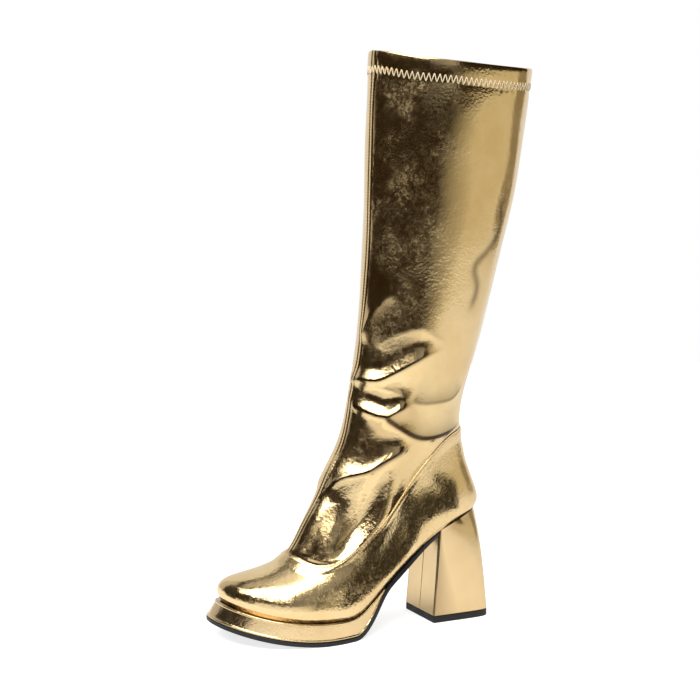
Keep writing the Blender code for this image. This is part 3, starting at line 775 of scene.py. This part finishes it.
def makeFoot():
    # outside rows from the featherline to the seam, half a circle over the cut edge, then the inside down,
    # thin where it laps the leg
    angle = turns(footFit["columns"], footFit["dense"])
    seam = seamAt(angle)
    share = np.linspace(0, 1, footFit["rows"])[:, None]
    share = share * (1 + footFit["dense"]) - footFit["dense"] * share**2
    point, normal, lift = footSkin(share * seam, angle[None, :])
    outside = point + normal * lift[..., None]
    turnIn = np.array([footFit["turnUnder"], footFit["turnUnder"] / 3])[:, None, None]
    under = outside[:1] - normal[:1] * turnIn
    bottomDrop = np.array([0.15, 0.1])[:, None, None] * np.array([0, 0, 1.0])
    top, topNormal, topLift = point[-1], normal[-1], lift[-1]
    base = topLift - seamFit["lap"] + 0.06
    upward = unit(bootPoint(seam + 0.5, angle) - bootPoint(seam - 0.5, angle))
    swing = np.linspace(0, np.pi, footFit["edgeRows"] + 2)[1:-1, None, None]
    radius = (topLift - base)[None, :, None] / 2
    across = (topLift + base)[None, :, None] / 2 + radius * np.cos(swing)
    edge = top + topNormal * across + upward * radius * np.sin(swing)
    inner = np.linspace(1, 0, footFit["innerRows"])[:, None] ** 1.3
    height = inner * seam
    point, normal, stretch, _ = bootFrame(height, angle[None, :])
    gap = (height - seam) * stretch
    lapped = softStep(gap, -8.5, -5.2)
    inside = point + normal * (-footFit["wall"] + (base + footFit["wall"]) * lapped)[..., None]
    mesh = tubeMesh("footLeather", np.concatenate([under - bottomDrop, outside, edge, inside]))
    skin = np.concatenate([under, outside])
    low = np.concatenate([np.zeros((2, len(angle))), share * seam])
    addAttribute(mesh, "grainy", grainyAt(skin))
    # painted shade line along the featherline, where the upper meets the platform
    addAttribute(mesh, "paintedShade", footFit["line"] * np.exp(-((low / footFit["lineWide"]) ** 2)))
    y, z = skin[..., 1], skin[..., 2]
    vamp = np.exp(-(((y + 62) / 22) ** 2) - ((z - 42) / 14) ** 2)
    quarter = softStep(y, -50, -25) * (1 - softStep(y, 50, 70))
    haze = footFit["haze"] + footFit["vampHaze"] * vamp + footFit["quarterHaze"] * quarter
    addAttribute(mesh, "haze", np.clip(haze, 0, 1))
    return mesh


addObject("footLeather", makeFoot(), goldFoil, "upper")

# Lining

liningFit = {"columns": 150, "rows": 90, "start": 13.0, "end": 3.2, "outer": 1.42, "inner": 2.0}


def makeLining():
    # thin sleeve inside the leather from under the turned hem down to the featherline
    angle = turns(liningFit["columns"], 0.0)
    _, _, stretch, _ = bootFrame(collarAt, angle)
    top = topAt(angle) - liningFit["start"] / stretch
    share = np.linspace(0, 1, liningFit["rows"])[:, None]
    point, normal, lift, _ = legSkin(liningFit["end"] + share * (top - liningFit["end"]), angle[None, :])
    fall = np.minimum(lift, 0)[..., None]
    outer = point + normal * (fall - liningFit["outer"])
    inner = point + normal * (fall - liningFit["inner"])
    return tubeMesh("legLining", np.concatenate([inner, outer[::-1]]))


addObject("legLining", makeLining(), beigeKnit, None)

# Sole layers

soleFit = {
    "gap": 0.3, "outsole": 3.6, "toe": -141.5, "spring": 13.5, "springPower": 1.7, "treadFront": -62.0,
    "treadBack": -38.0, "rise": 0.038, "blend": 4.0, "platformLeast": 1.5, "breast": 47.2, "stations": 150,
}
soleProfileY = np.linspace(soleFit["toe"] - 4, 92.5, 900)


def offsetDown(y, z, distance):
    # a profile moved along its own normal, downwards
    slope = np.arctan(np.gradient(z, y))
    return y + distance * np.sin(slope), z - distance * np.cos(slope)


def platformTreadZ(y):
    # toe spring as a power, a flat, then a parabola up the rear
    spring = np.clip((soleFit["treadFront"] - y) / (soleFit["treadFront"] - soleFit["toe"]), 0, None)
    rise = np.clip(y - soleFit["treadBack"], 0, None)
    return soleFit["spring"] * spring ** soleFit["springPower"] + soleFit["rise"] * rise**2


def waistTreadZ(y):
    # smooth minimum of the platform's rear and the waist under the featherline
    belowY, belowZ = offsetDown(soleProfileY, featherZ(soleProfileY), soleFit["outsole"] + 2 * soleFit["gap"])
    waist = np.interp(y, belowY, belowZ)
    return -soleFit["blend"] * np.logaddexp(-platformTreadZ(y) / soleFit["blend"], -waist / soleFit["blend"])


def treadZ(y):
    # the platform's tread in front, the waist's behind, joined at the back of the flat
    behind = np.maximum(waistTreadZ(y) - waistTreadZ(soleFit["treadBack"]), 0)
    return np.where(y < soleFit["treadBack"], platformTreadZ(y), behind)


def aboveTreadZ(y, distance):
    # the tread moved up along its normal
    movedY, movedZ = offsetDown(soleProfileY, treadZ(soleProfileY), -distance)
    return np.interp(y, movedY, movedZ)


def underUpperZ(y):
    # top of the layers under the upper, a gap below the featherline
    return featherZ(y) - soleFit["gap"]


def platformBottomZ(y):
    # a gap above the outsole
    return aboveTreadZ(y, soleFit["outsole"] + soleFit["gap"])


def platformEnd():
    # where the platform, tapering into the waist, gets down to its least thickness
    y = soleProfileY[soleProfileY > soleFit["treadBack"]]
    thick = underUpperZ(y) - platformBottomZ(y)
    return y[np.argmax(thick < soleFit["platformLeast"])]


def planEdge(plan, end, count):
    # outline of a sole layer from one side of its rear end round the toe to the other: y, signed half width and normal
    toeY, heelY = plan[:2]
    last = np.arccos(1 - 2 * (end - toeY) / (heelY - toeY))
    turn = np.linspace(-last, last, 2 * count + 1)
    share = (1 - np.cos(turn)) / 2
    y = toeY + (heelY - toeY) * share
    half = np.sign(turn) * halfWidth(share, *plan[2:])
    x = centreX(y) + half
    tangent = unit(np.stack([np.gradient(x), np.gradient(y)], axis=-1))
    outward = np.stack([tangent[:, 1], -tangent[:, 0]], axis=-1)
    return y, half, outward * np.sign((outward * np.stack([half, y], axis=-1)).sum(-1, keepdims=True))


def drawnIn(edge, share, level):
    # rows drawn in from an edge towards the middle line by shares, at the height of a curve
    x, y = edge[:, 0], edge[:, 1]
    return np.stack(np.broadcast_arrays(centreX(y) + (x - centreX(y)) * share, y, level(y)), axis=-1)


def roundCorner(depth, radius):
    # how far a quarter circle stands back at a depth from its end
    return radius * (1 - np.sqrt(np.clip(1 - np.clip(1 - depth / radius, 0, 1) ** 2, 0, 1)))


def soleLayer(name, topPlan, bottomPlan, topZ, bottomZ, end, wallRows, bulge, inRows=6):
    # rows go from the middle line of the top out to the edge, down the wall and back to the middle line underneath;
    # the wall runs between the two outlines and swells along the plan normal by the bulge of its share and height
    count = soleFit["stations"]
    topY, topHalf, topOut = planEdge(topPlan, end, count)
    lowY, lowHalf, lowOut = planEdge(bottomPlan, end, count)
    v = np.linspace(0, 1, wallRows)[:, None]
    tall = np.maximum(topZ(topY) - bottomZ(lowY), 0.2)[None, :]
    y = topY + (lowY - topY) * v
    x = (centreX(topY) + topHalf) * (1 - v) + (centreX(lowY) + lowHalf) * v
    out = unit(topOut[None] * (1 - v[..., None]) + lowOut[None] * v[..., None])
    push = bulge(v, tall)
    z = topZ(topY) * (1 - v) + bottomZ(lowY) * v
    wall = np.stack([x + out[..., 0] * push, y + out[..., 1] * push, z], axis=-1)
    k = np.linspace(0, 1, inRows, endpoint=False)[:, None]
    top, low = drawnIn(wall[0], k, topZ), drawnIn(wall[-1], k[::-1], bottomZ)
    grid = np.concatenate([top, wall, low])
    middle = (grid + grid[::-1]) / 2
    first = middle[:, :1] * 0.5 + middle[:, -1:] * 0.5
    grid = np.concatenate([first, grid, first], axis=1)
    return weldedMesh(name, grid.reshape(-1, 3), gridQuads(*grid.shape[:2], False, False), 50)


platformFit = {
    # toe and heel y, fore, mid and rear half widths, toe and heel square
    "top": (-134.2, 92.5, 43.0, 31.6, 26.5, 5.4, 3.0), "bottom": (-141.5, 92.5, 43.8, 31.9, 26.5, 5.4, 3.0),
    "bead": 0.9, "beadOut": 0.8, "swell": 0.25, "full": 9.0, "inset": 0.5, "wallRows": 46, "line": 0.8, "lineWide": 0.35,
}


def platformBulge(v, tall):
    # a round bead along the top and the bottom edge and a slight swelling between them
    part = np.minimum(1, tall / platformFit["full"])
    bead = platformFit["bead"] * part
    edge = sum(np.sqrt(np.clip(1 - ((near - bead) / bead) ** 2, 0, 1)) for near in (v * tall, (1 - v) * tall))
    return (platformFit["beadOut"] * edge + platformFit["swell"] * 4 * v * (1 - v)) * part - platformFit["inset"]


def makePlatform():
    # the wrapped layer, with a painted shade line along the corner where the upper meets it
    plans = platformFit["top"], platformFit["bottom"]
    rows = platformFit["wallRows"]
    mesh = soleLayer("platformWrap", *plans, underUpperZ, platformBottomZ, platformEnd(), rows, platformBulge)
    _, y, z = meshPoints(mesh)
    line = platformFit["line"] * np.exp(-(((underUpperZ(y) - z) / platformFit["lineWide"]) ** 2))
    addAttribute(mesh, "paintedShade", line)
    return mesh


addObject("platformWrap", makePlatform(), goldBand, "platform")

outsoleFit = {
    "plan": (-141.5, 92.5, 44.2, 32.0, 26.5, 5.4, 3.0), "edge": 0.5, "proud": 0.15, "wallRows": 14, "inRows": 10,
}


def outsoleBulge(v, tall):
    # rounded corners top and bottom
    return outsoleFit["proud"] - roundCorner(np.minimum(v, 1 - v) * tall, outsoleFit["edge"])


def outsoleTopZ(y):
    # the tread moved up by the rubber's thickness
    return aboveTreadZ(y, soleFit["outsole"])


def makeOutsole():
    # one sheet from the toe to the heel's breast
    plan, rows, inRows = outsoleFit["plan"], outsoleFit["wallRows"], outsoleFit["inRows"]
    return soleLayer("outsoleRubber", plan, plan, outsoleTopZ, treadZ, soleFit["breast"], rows, outsoleBulge, inRows)


addObject("outsoleRubber", makeOutsole(), soleRubber, "outsole")

sockFit = {"plan": (-128.3, 90.3, 37.8, 27.3, 24.3, 5.0, 3.0), "thick": 3.0, "edge": 0.8, "wallRows": 10, "inRows": 12}


def sockBulge(v, tall):
    # rounded upper edge
    return -roundCorner(v * tall, sockFit["edge"])


def sockTopZ(y):
    # the featherline raised by the sock's thickness
    return featherZ(y) + sockFit["thick"]


def makeSock():
    # board and sock as one sheet on the featherline
    plan, rows, inRows = sockFit["plan"], sockFit["wallRows"], sockFit["inRows"]
    return soleLayer("sockLining", plan, plan, sockTopZ, featherZ, plan[1], rows, sockBulge, inRows)


addObject("sockLining", makeSock(), beigeKnit, "insole")

# Heel

heelFit = {
    "breastTop": 48.0, "breastBottom": 42.5, "backTop": 92.8, "backBottom": 97.0, "halfTop": 24.8, "halfBottom": 25.3,
    "squareTop": 1.78, "squareBottom": 9.0, "flare": 1.15, "lift": 6.0, "corner": 1.5, "levels": 70,
    "seam": 0.3, "seamWide": 0.35, "line": 0.95, "edgeAt": 0.45, "edgeWide": 1.3, "breastShade": 0.1,
}


def heelSides(share):
    # half width, flaring by a power, and straight breast line at a share of the way down
    half = heelFit["halfTop"] + (heelFit["halfBottom"] - heelFit["halfTop"]) * share ** heelFit["flare"]
    return half, heelFit["breastTop"] + (heelFit["breastBottom"] - heelFit["breastTop"]) * share


def heelOutline(share, grow=0.0):
    # closed outline at a share of the way down: straight breast, small round corner, then a quarter superellipse to the
    # back, mirrored; rows are levels
    share = np.atleast_1d(share)[:, None]
    blend = share ** heelFit["flare"]
    square = heelFit["squareTop"] + (heelFit["squareBottom"] - heelFit["squareTop"]) * blend
    half, front = heelSides(share)
    half, front = half + grow, front - grow
    back = heelFit["backTop"] + (heelFit["backBottom"] - heelFit["backTop"]) * blend + grow
    corner = heelFit["corner"]
    flat = np.concatenate([np.linspace(0, 1.6, 9), np.linspace(2.2, 24, 14)])[None, :] / 24
    breastX = flat * (half - corner)
    breastY = front + 0 * breastX
    swing = np.linspace(0, np.pi / 2, 9)[None, 1:-1]
    cornerX = half - corner + corner * np.sin(swing)
    cornerY = front + corner - corner * np.cos(swing)
    reach = np.linspace(0, 1, 60)[None, :]
    start = np.arcsin(np.clip((corner / (back - front)) ** (square / 2), 0, 1))
    turn = start + (np.pi / 2 - start) * reach
    sideX = half * np.clip(np.cos(turn), 0, None) ** (2 / square)
    sideX[:, -1] = 0
    sideY = front + (back - front) * np.sin(turn) ** (2 / square)
    x = np.concatenate([breastX, cornerX, sideX], axis=1)
    y = np.concatenate([breastY, cornerY, sideY], axis=1)
    return np.concatenate([x, -x[:, -2:0:-1]], axis=1), np.concatenate([y, y[:, -2:0:-1]], axis=1)


def cappedLoft(name, x, y, z, sharp):
    # levels joined by quads, with rings drawn in to the middle of the first and the last
    side = np.stack([x, y, z], axis=-1)
    k = np.linspace(0, 1, 7)[:-1, None, None]
    topMid, lowMid = side[0].mean(0), side[-1].mean(0)
    top = topMid + (side[0] - topMid) * k
    low = lowMid + (side[-1] - lowMid) * k[::-1]
    grid = np.concatenate([top, side, low])
    return weldedMesh(name, grid.reshape(-1, 3), gridQuads(*grid.shape[:2], False, True), sharp)


def makeHeel():
    # from the seat, which follows the featherline, down to the lift; the wrap meets in a fine line up the breast, which
    # has a faint painted shade over it, with a painted shade line along the corners beside it
    share = np.linspace(0, 1, heelFit["levels"])
    x, y = heelOutline(share)
    top = underUpperZ(y)
    bottom = heelFit["lift"] + soleFit["gap"]
    z = top + (bottom - top) * share[:, None]
    onBreast = np.abs(x) < 3
    y = y + np.where(onBreast & (y < 60), heelFit["seam"] * np.exp(-((x / heelFit["seamWide"]) ** 2)), 0)
    mesh = cappedLoft("heelWrap", x, y, z, 50)
    px, py, pz = meshPoints(mesh)
    seat = underUpperZ(py)
    half, front = heelSides(np.clip((seat - pz) / np.maximum(seat - bottom, 1), 0, 1))
    corner = np.hypot(half - np.abs(px) - heelFit["edgeAt"], py - front - heelFit["edgeAt"])
    breast = (py - front < 1.0) & (np.abs(px) < half - 0.8)
    # painted shade line along the breast corners and a faint painted shade over the breast face
    line = heelFit["line"] * np.exp(-((corner / heelFit["edgeWide"]) ** 2))
    addAttribute(mesh, "paintedShade", np.maximum(line, heelFit["breastShade"] * breast))
    return mesh


addObject("heelWrap", makeHeel(), goldWrap, "heel")


def makeLift():
    # straight block under the heel with a small chamfer at both rims
    depth = np.array([0, 0.25, 0.6, 2.0, 4.0, 5.3, 5.75, 6.0])
    inset = np.array([-0.45, -0.12, 0, 0, 0, 0, -0.15, -0.5])
    outlines = [heelOutline(1.0, grow) for grow in inset]
    x = np.concatenate([outline[0] for outline in outlines])
    y = np.concatenate([outline[1] for outline in outlines])
    z = heelFit["lift"] - depth[:, None] + 0 * x
    return cappedLoft("heelLift", x, y, z, 50)


addObject("heelLift", makeLift(), soleRubber, "heel_lift")

# Stitching


def stitches(name, start, end, normal, radius, arch, segments=8, around=7):
    # one strand for each pair of ends: a thin round rod, drawn to a point and sunk at both ends, arched between them
    along = unit(end - start)
    side = unit(np.cross(normal, along))
    t = np.linspace(-1, 1, segments)
    fall = np.sqrt(np.clip(1 - t**6, 0, 1))
    path = start[:, None] + (end - start)[:, None] * ((t + 1) / 2)[None, :, None]
    path = path + normal[:, None] * (arch * (1 - t**4) - radius * 0.6)[None, :, None]
    turn = np.linspace(0, 2 * np.pi, around, endpoint=False)
    cosine, sine = np.cos(turn)[None, None, :, None], np.sin(turn)[None, None, :, None]
    ring = side[:, None, None] * cosine + normal[:, None, None] * sine
    points = path[:, :, None] + ring * (radius * fall)[None, :, None, None]
    quads = gridQuads(segments, around, False, True)
    shift = np.arange(len(start))[:, None, None] * segments * around
    return weldedMesh(name, points.reshape(-1, 3), (quads[None] + shift).reshape(-1, 4))


def evenly(points, normals, pitch, length):
    # ends of stitches of a length, a pitch apart, along a line of points
    travelled = np.concatenate([[0], np.cumsum(np.linalg.norm(np.diff(points, axis=0), axis=1))])
    count = int(travelled[-1] / pitch)
    middle = (np.arange(count) + 0.5) * travelled[-1] / count

    def read(at, values):
        # x, y and z in between, by the length travelled
        return np.stack([np.interp(at, travelled, values[:, i]) for i in range(3)], axis=1)

    return read(middle - length / 2, points), read(middle + length / 2, points), unit(read(middle, normals))


def seamStitches():
    # a row below the cut edge of the foot, all the way round
    angle = np.linspace(0, 2 * np.pi, 1500)
    _, _, stretch, _ = bootFrame(seamAt(angle), angle)
    point, normal, lift = footSkin(seamAt(angle) - stitchFit["inset"] / stretch, angle)
    start, end, normals = evenly(point + normal * lift[:, None], normal, stitchFit["pitch"], stitchFit["length"])
    return stitches("seamStitches", start, end, normals, stitchFit["radius"], stitchFit["arch"])


def centreStitches():
    # pairs of rows beside the front and the back seam of the leg
    starts, ends, normals = [], [], []
    for line in (0.0, np.pi):
        for sign in (-1, 1):
            low = seamAt(np.array([line]))[0] + stitchFit["pairStart"]
            height = np.linspace(low, collarAt - stitchFit["pairEnd"], 900)
            _, _, _, radius = bootFrame(height, np.full(900, line))
            angle = line + sign * stitchFit["pair"] / radius
            point, normal, lift, _ = legSkin(height, angle)
            found = evenly(point + normal * lift[:, None], normal, stitchFit["pitch"], stitchFit["length"])
            for group, values in zip((starts, ends, normals), found):
                group.append(values)
    rows = [np.concatenate(group) for group in (starts, ends, normals)]
    return stitches("centreStitches", *rows, stitchFit["radius"], stitchFit["pairArch"])


def hemZigzag():
    # strands from the upper to the lower border of the hem and back, a pitch apart
    fine = np.linspace(0, 2 * np.pi, 2000)
    ring = bootPoint(np.full(2000, collarAt - hemFit["depth"]), fine)
    travelled = np.concatenate([[0], np.cumsum(np.linalg.norm(np.diff(ring, axis=0), axis=1))])
    count = int(round(travelled[-1] / hemFit["pitch"]))
    angle = np.interp(np.arange(2 * count + 1) / (2 * count) * travelled[-1], travelled, fine)
    down = hemFit["depth"] + hemFit["tall"] / 2 * np.where(np.arange(2 * count + 1) % 2, 1, -1)
    _, _, stretch, _ = bootFrame(np.full_like(angle, collarAt), angle)
    point, normal, lift, _ = legSkin(topAt(angle) - down / stretch, angle)
    knots = point + normal * (lift + stitchFit["zigProud"])[:, None]
    between = unit(normal[:-1] + normal[1:])
    return stitches("hemZigzag", knots[:-1], knots[1:], between, stitchFit["zigRadius"], stitchFit["zigArch"], 10, 8)


addObject("seamStitches", seamStitches(), goldThread, None)
addObject("centreStitches", centreStitches(), goldThread, None)
addObject("hemZigzag", hemZigzag(), creamThread, None)

# Camera

cameraFit = {
    "turn": 64.0, "aim": 225.0, "distance": 1500.0, "place": (1305.95, -659.91, 430.0), "lens": 92.571, "sensor": 36.0,
}


def makeCamera():
    # level with the aim's turn and pitched down to it; columns are the camera's right, up, back and place
    turn = math.radians(cameraFit["turn"])
    pitch = math.atan2(cameraFit["place"][2] - cameraFit["aim"], cameraFit["distance"])
    right = np.array([math.cos(turn), math.sin(turn), 0])
    forward = np.array([-math.sin(turn) * math.cos(pitch), math.cos(turn) * math.cos(pitch), -math.sin(pitch)])
    up = np.cross(right, forward)
    data = bpy.data.cameras.new("camera")
    data.lens = cameraFit["lens"]
    data.sensor_width = cameraFit["sensor"]
    data.clip_end = 50
    camera = bpy.data.objects.new("camera", data)
    columns = np.column_stack([right, up, -forward, np.array(cameraFit["place"]) * mm])
    camera.matrix_world = Matrix([*columns.tolist(), [0, 0, 0, 1]])
    bpy.context.scene.collection.objects.link(camera)
    bpy.context.scene.camera = camera


makeCamera()
print("camera placed")

# Studio: directions are a turn from the camera's own direction, to the right as the camera sees it, and an elevation

studio = {
    "floorFront": 1.55, "floorBack": 1.5, "floorWide": 4.0, "floorGrey": 0.78, "floorTooth": 0.02, "floorGlow": 0.34,
    "floorSeen": 0.42,
    "world": (0.024, 0.0142, 0.0052), "radius": 1.8, "flagGlow": 0.035,
    "cards": [
        # name, corner directions, radiance, one or one for each corner, and, where they aren't the studio's radius and
        # white, distance and colour
        ("frontBox", [(-70, 35), (2, 33), (36, 58), (-66, 70)], 5.2),
        ("frontFade", [(-100, 35), (-70, 35), (-69, 49), (-99, 49)], (0.1, 3.4, 3.4, 0.1)),
        ("topBox", [(-45, 66), (45, 60), (135, 64), (225, 66)], 0.95),
        ("midCard", [(4, 17), (34, 17), (36, 46), (6, 31)], (0.06, 0.4, 0.5, 0.3)),
        ("leftWall", [(-140, -3), (-112, -3), (-112, 50), (-140, 50)], 0.62),
        ("farLeftWall", [(-182, -3), (-140, -3), (-140, 50), (-182, 50)], 0.85),
        ("leftTop", [(-165, 53), (-88, 53), (-88, 68), (-165, 68)], 0.52),
        ("frontSkirt", [(-46, -6.5), (24, -6.5), (24, 8), (-46, 8)], 1.0, 0.55),
        ("skirtFade", [(-46, 8), (24, 8), (24, 12.5), (-46, 12.5)], (1.0, 1.0, 0.03, 0.03), 0.55),
        ("rightWall", [(52, -4), (110, -4), (106, 14), (64, 14)], 0.68, 1.8, (1, 0.94, 0.74)),
        ("rightFade", [(12, -4), (52, -4), (64, 14), (30, 14)], (0.02, 0.62, 0.62, 0.02), 1.8, (1, 0.94, 0.74)),
        ("gapCard", [(110, -4), (130, -4), (130, 14), (106, 14)], 0.3, 1.8, (1, 0.86, 0.6)),
        ("rimCard", [(38, 50), (78, 50), (78, 62), (38, 60)], 2.0),
        ("backWall", [(130, -3), (178, -3), (178, 40), (130, 40)], 0.85),
    ],
    "flags": [
        # name, turn, distance, shift to the right, width, lower and upper edge
        ("nearFlag", 60, 0.10, -0.0275, 0.065, 0.02, 0.080),
        ("midFlag", 60, 0.10, 0.019, 0.028, 0.02, 0.108),
        ("rearFlag", 60, 0.10, 0.0475, 0.029, 0.085, 0.110),
        ("backFlag", 60, 0.10, 0.073, 0.022, 0.085, 0.122),
        ("leftFlag", -80, 0.28, -0.003, 0.105, 0.0, 0.26),
    ],
}
cameraTurn = math.radians(cameraFit["turn"] - 90)
studioMiddle = np.array([0.0, -0.03, 0.06])


def studioWay(turn, elevation):
    # direction as cosines and sines of turn and elevation
    turn, elevation = cameraTurn + math.radians(turn), math.radians(elevation)
    return np.array([math.cos(turn) * math.cos(elevation), math.sin(turn) * math.cos(elevation), math.sin(elevation)])


def addCard(name, corners, material, seen=False):
    # one flat sheet of the staging
    mesh = bpy.data.meshes.new(name)
    mesh.from_pydata([tuple(corner) for corner in corners], [], [(0, 1, 2, 3)])
    mesh.materials.append(material)
    card = bpy.data.objects.new(name, mesh)
    card.visible_camera = seen
    card.visible_shadow = seen
    bpy.context.scene.collection.objects.link(card)
    return card


def glowMaterial(name, radiance, colour=(1, 1, 1)):
    # plain glow, or one that follows the corners' own values
    material = bpy.data.materials.new(name)
    material.use_nodes = True
    tree = material.node_tree
    tree.nodes.clear()
    if isinstance(radiance, tuple):
        radiance = addNode(tree, "ShaderNodeAttribute", {"attribute_name": "glow"}).outputs["Fac"]
    glow = addNode(tree, "ShaderNodeEmission", Color=(*colour, 1), Strength=radiance)
    out = tree.nodes.new("ShaderNodeOutputMaterial")
    tree.links.new(glow.outputs[0], out.inputs["Surface"])
    return material


for name, corners, radiance, *others in studio["cards"]:
    away = others[0] if others else studio["radius"]
    places = [studioMiddle + away * studioWay(*corner) for corner in corners]
    card = addCard(name, places, glowMaterial(name, radiance, *others[1:]))
    addAttribute(card.data, "glow", np.zeros(4) + radiance)

darkCloth = glowMaterial("darkCloth", studio["flagGlow"], (1, 0.86, 0.62))
for name, turn, distance, shift, width, lower, upper in studio["flags"]:
    way, side = studioWay(turn, 0), studioWay(turn + 90, 0)
    foot = np.array([studioMiddle[0], studioMiddle[1], 0]) + way * distance
    left, right = foot + side * (shift - width / 2), foot + side * (shift + width / 2)
    low, high = np.array([0, 0, lower]), np.array([0, 0, upper])
    flag = addCard(name, [left + low, right + low, right + high, left + high], darkCloth)
    flag.visible_diffuse = False


def makeFloor():
    # pale paper sheet with a faint tooth and a glow of its own, a little stronger to the camera
    material, tree, shader, place = newMaterial("palePaper")
    tones = [(studio["floorGrey"] + more,) * 3 for more in (0, studio["floorTooth"])]
    feed(tree, shader, Base_Color=mixColour(tree, noise(tree, place, 300.0, 3.0), *tones), Roughness=1.0)
    seen = addNode(tree, "ShaderNodeLightPath").outputs["Is Camera Ray"]
    glow = plus(tree, times(tree, seen, studio["floorSeen"]), studio["floorGlow"])
    feed(tree, shader, Specular_IOR_Level=0.0, Emission_Color=(1, 1, 1, 1), Emission_Strength=glow)
    toCamera, side = studioWay(0, 0), studioWay(90, 0) * studio["floorWide"] / 2
    near, far = toCamera * studio["floorFront"], -toCamera * studio["floorBack"]
    return addCard("floor", [near - side, near + side, far + side, far - side], material, True)


makeFloor()
print("studio", len(studio["cards"]), "cards", len(studio["flags"]), "flags")

# dark air for the gold to mirror, plain white behind the boot
world = bpy.data.worlds.new("studioAir")
bpy.context.scene.world = world
world.use_nodes = True
worldTree = world.node_tree
worldTree.nodes.clear()
seen = addNode(worldTree, "ShaderNodeLightPath").outputs["Is Camera Ray"]
air = addNode(worldTree, "ShaderNodeBackground", Color=(*studio["world"], 1), Strength=1.0)
paper = addNode(worldTree, "ShaderNodeBackground", Color=(1, 1, 1, 1), Strength=1.0)
either = addNode(worldTree, "ShaderNodeMixShader")
worldTree.links.new(seen, either.inputs[0])
worldTree.links.new(air.outputs[0], either.inputs[1])
worldTree.links.new(paper.outputs[0], either.inputs[2])
worldOut = worldTree.nodes.new("ShaderNodeOutputWorld")
worldTree.links.new(either.outputs[0], worldOut.inputs["Surface"])

bpy.context.scene.view_settings.view_transform = "Standard"
bpy.context.scene.view_settings.look = "None"
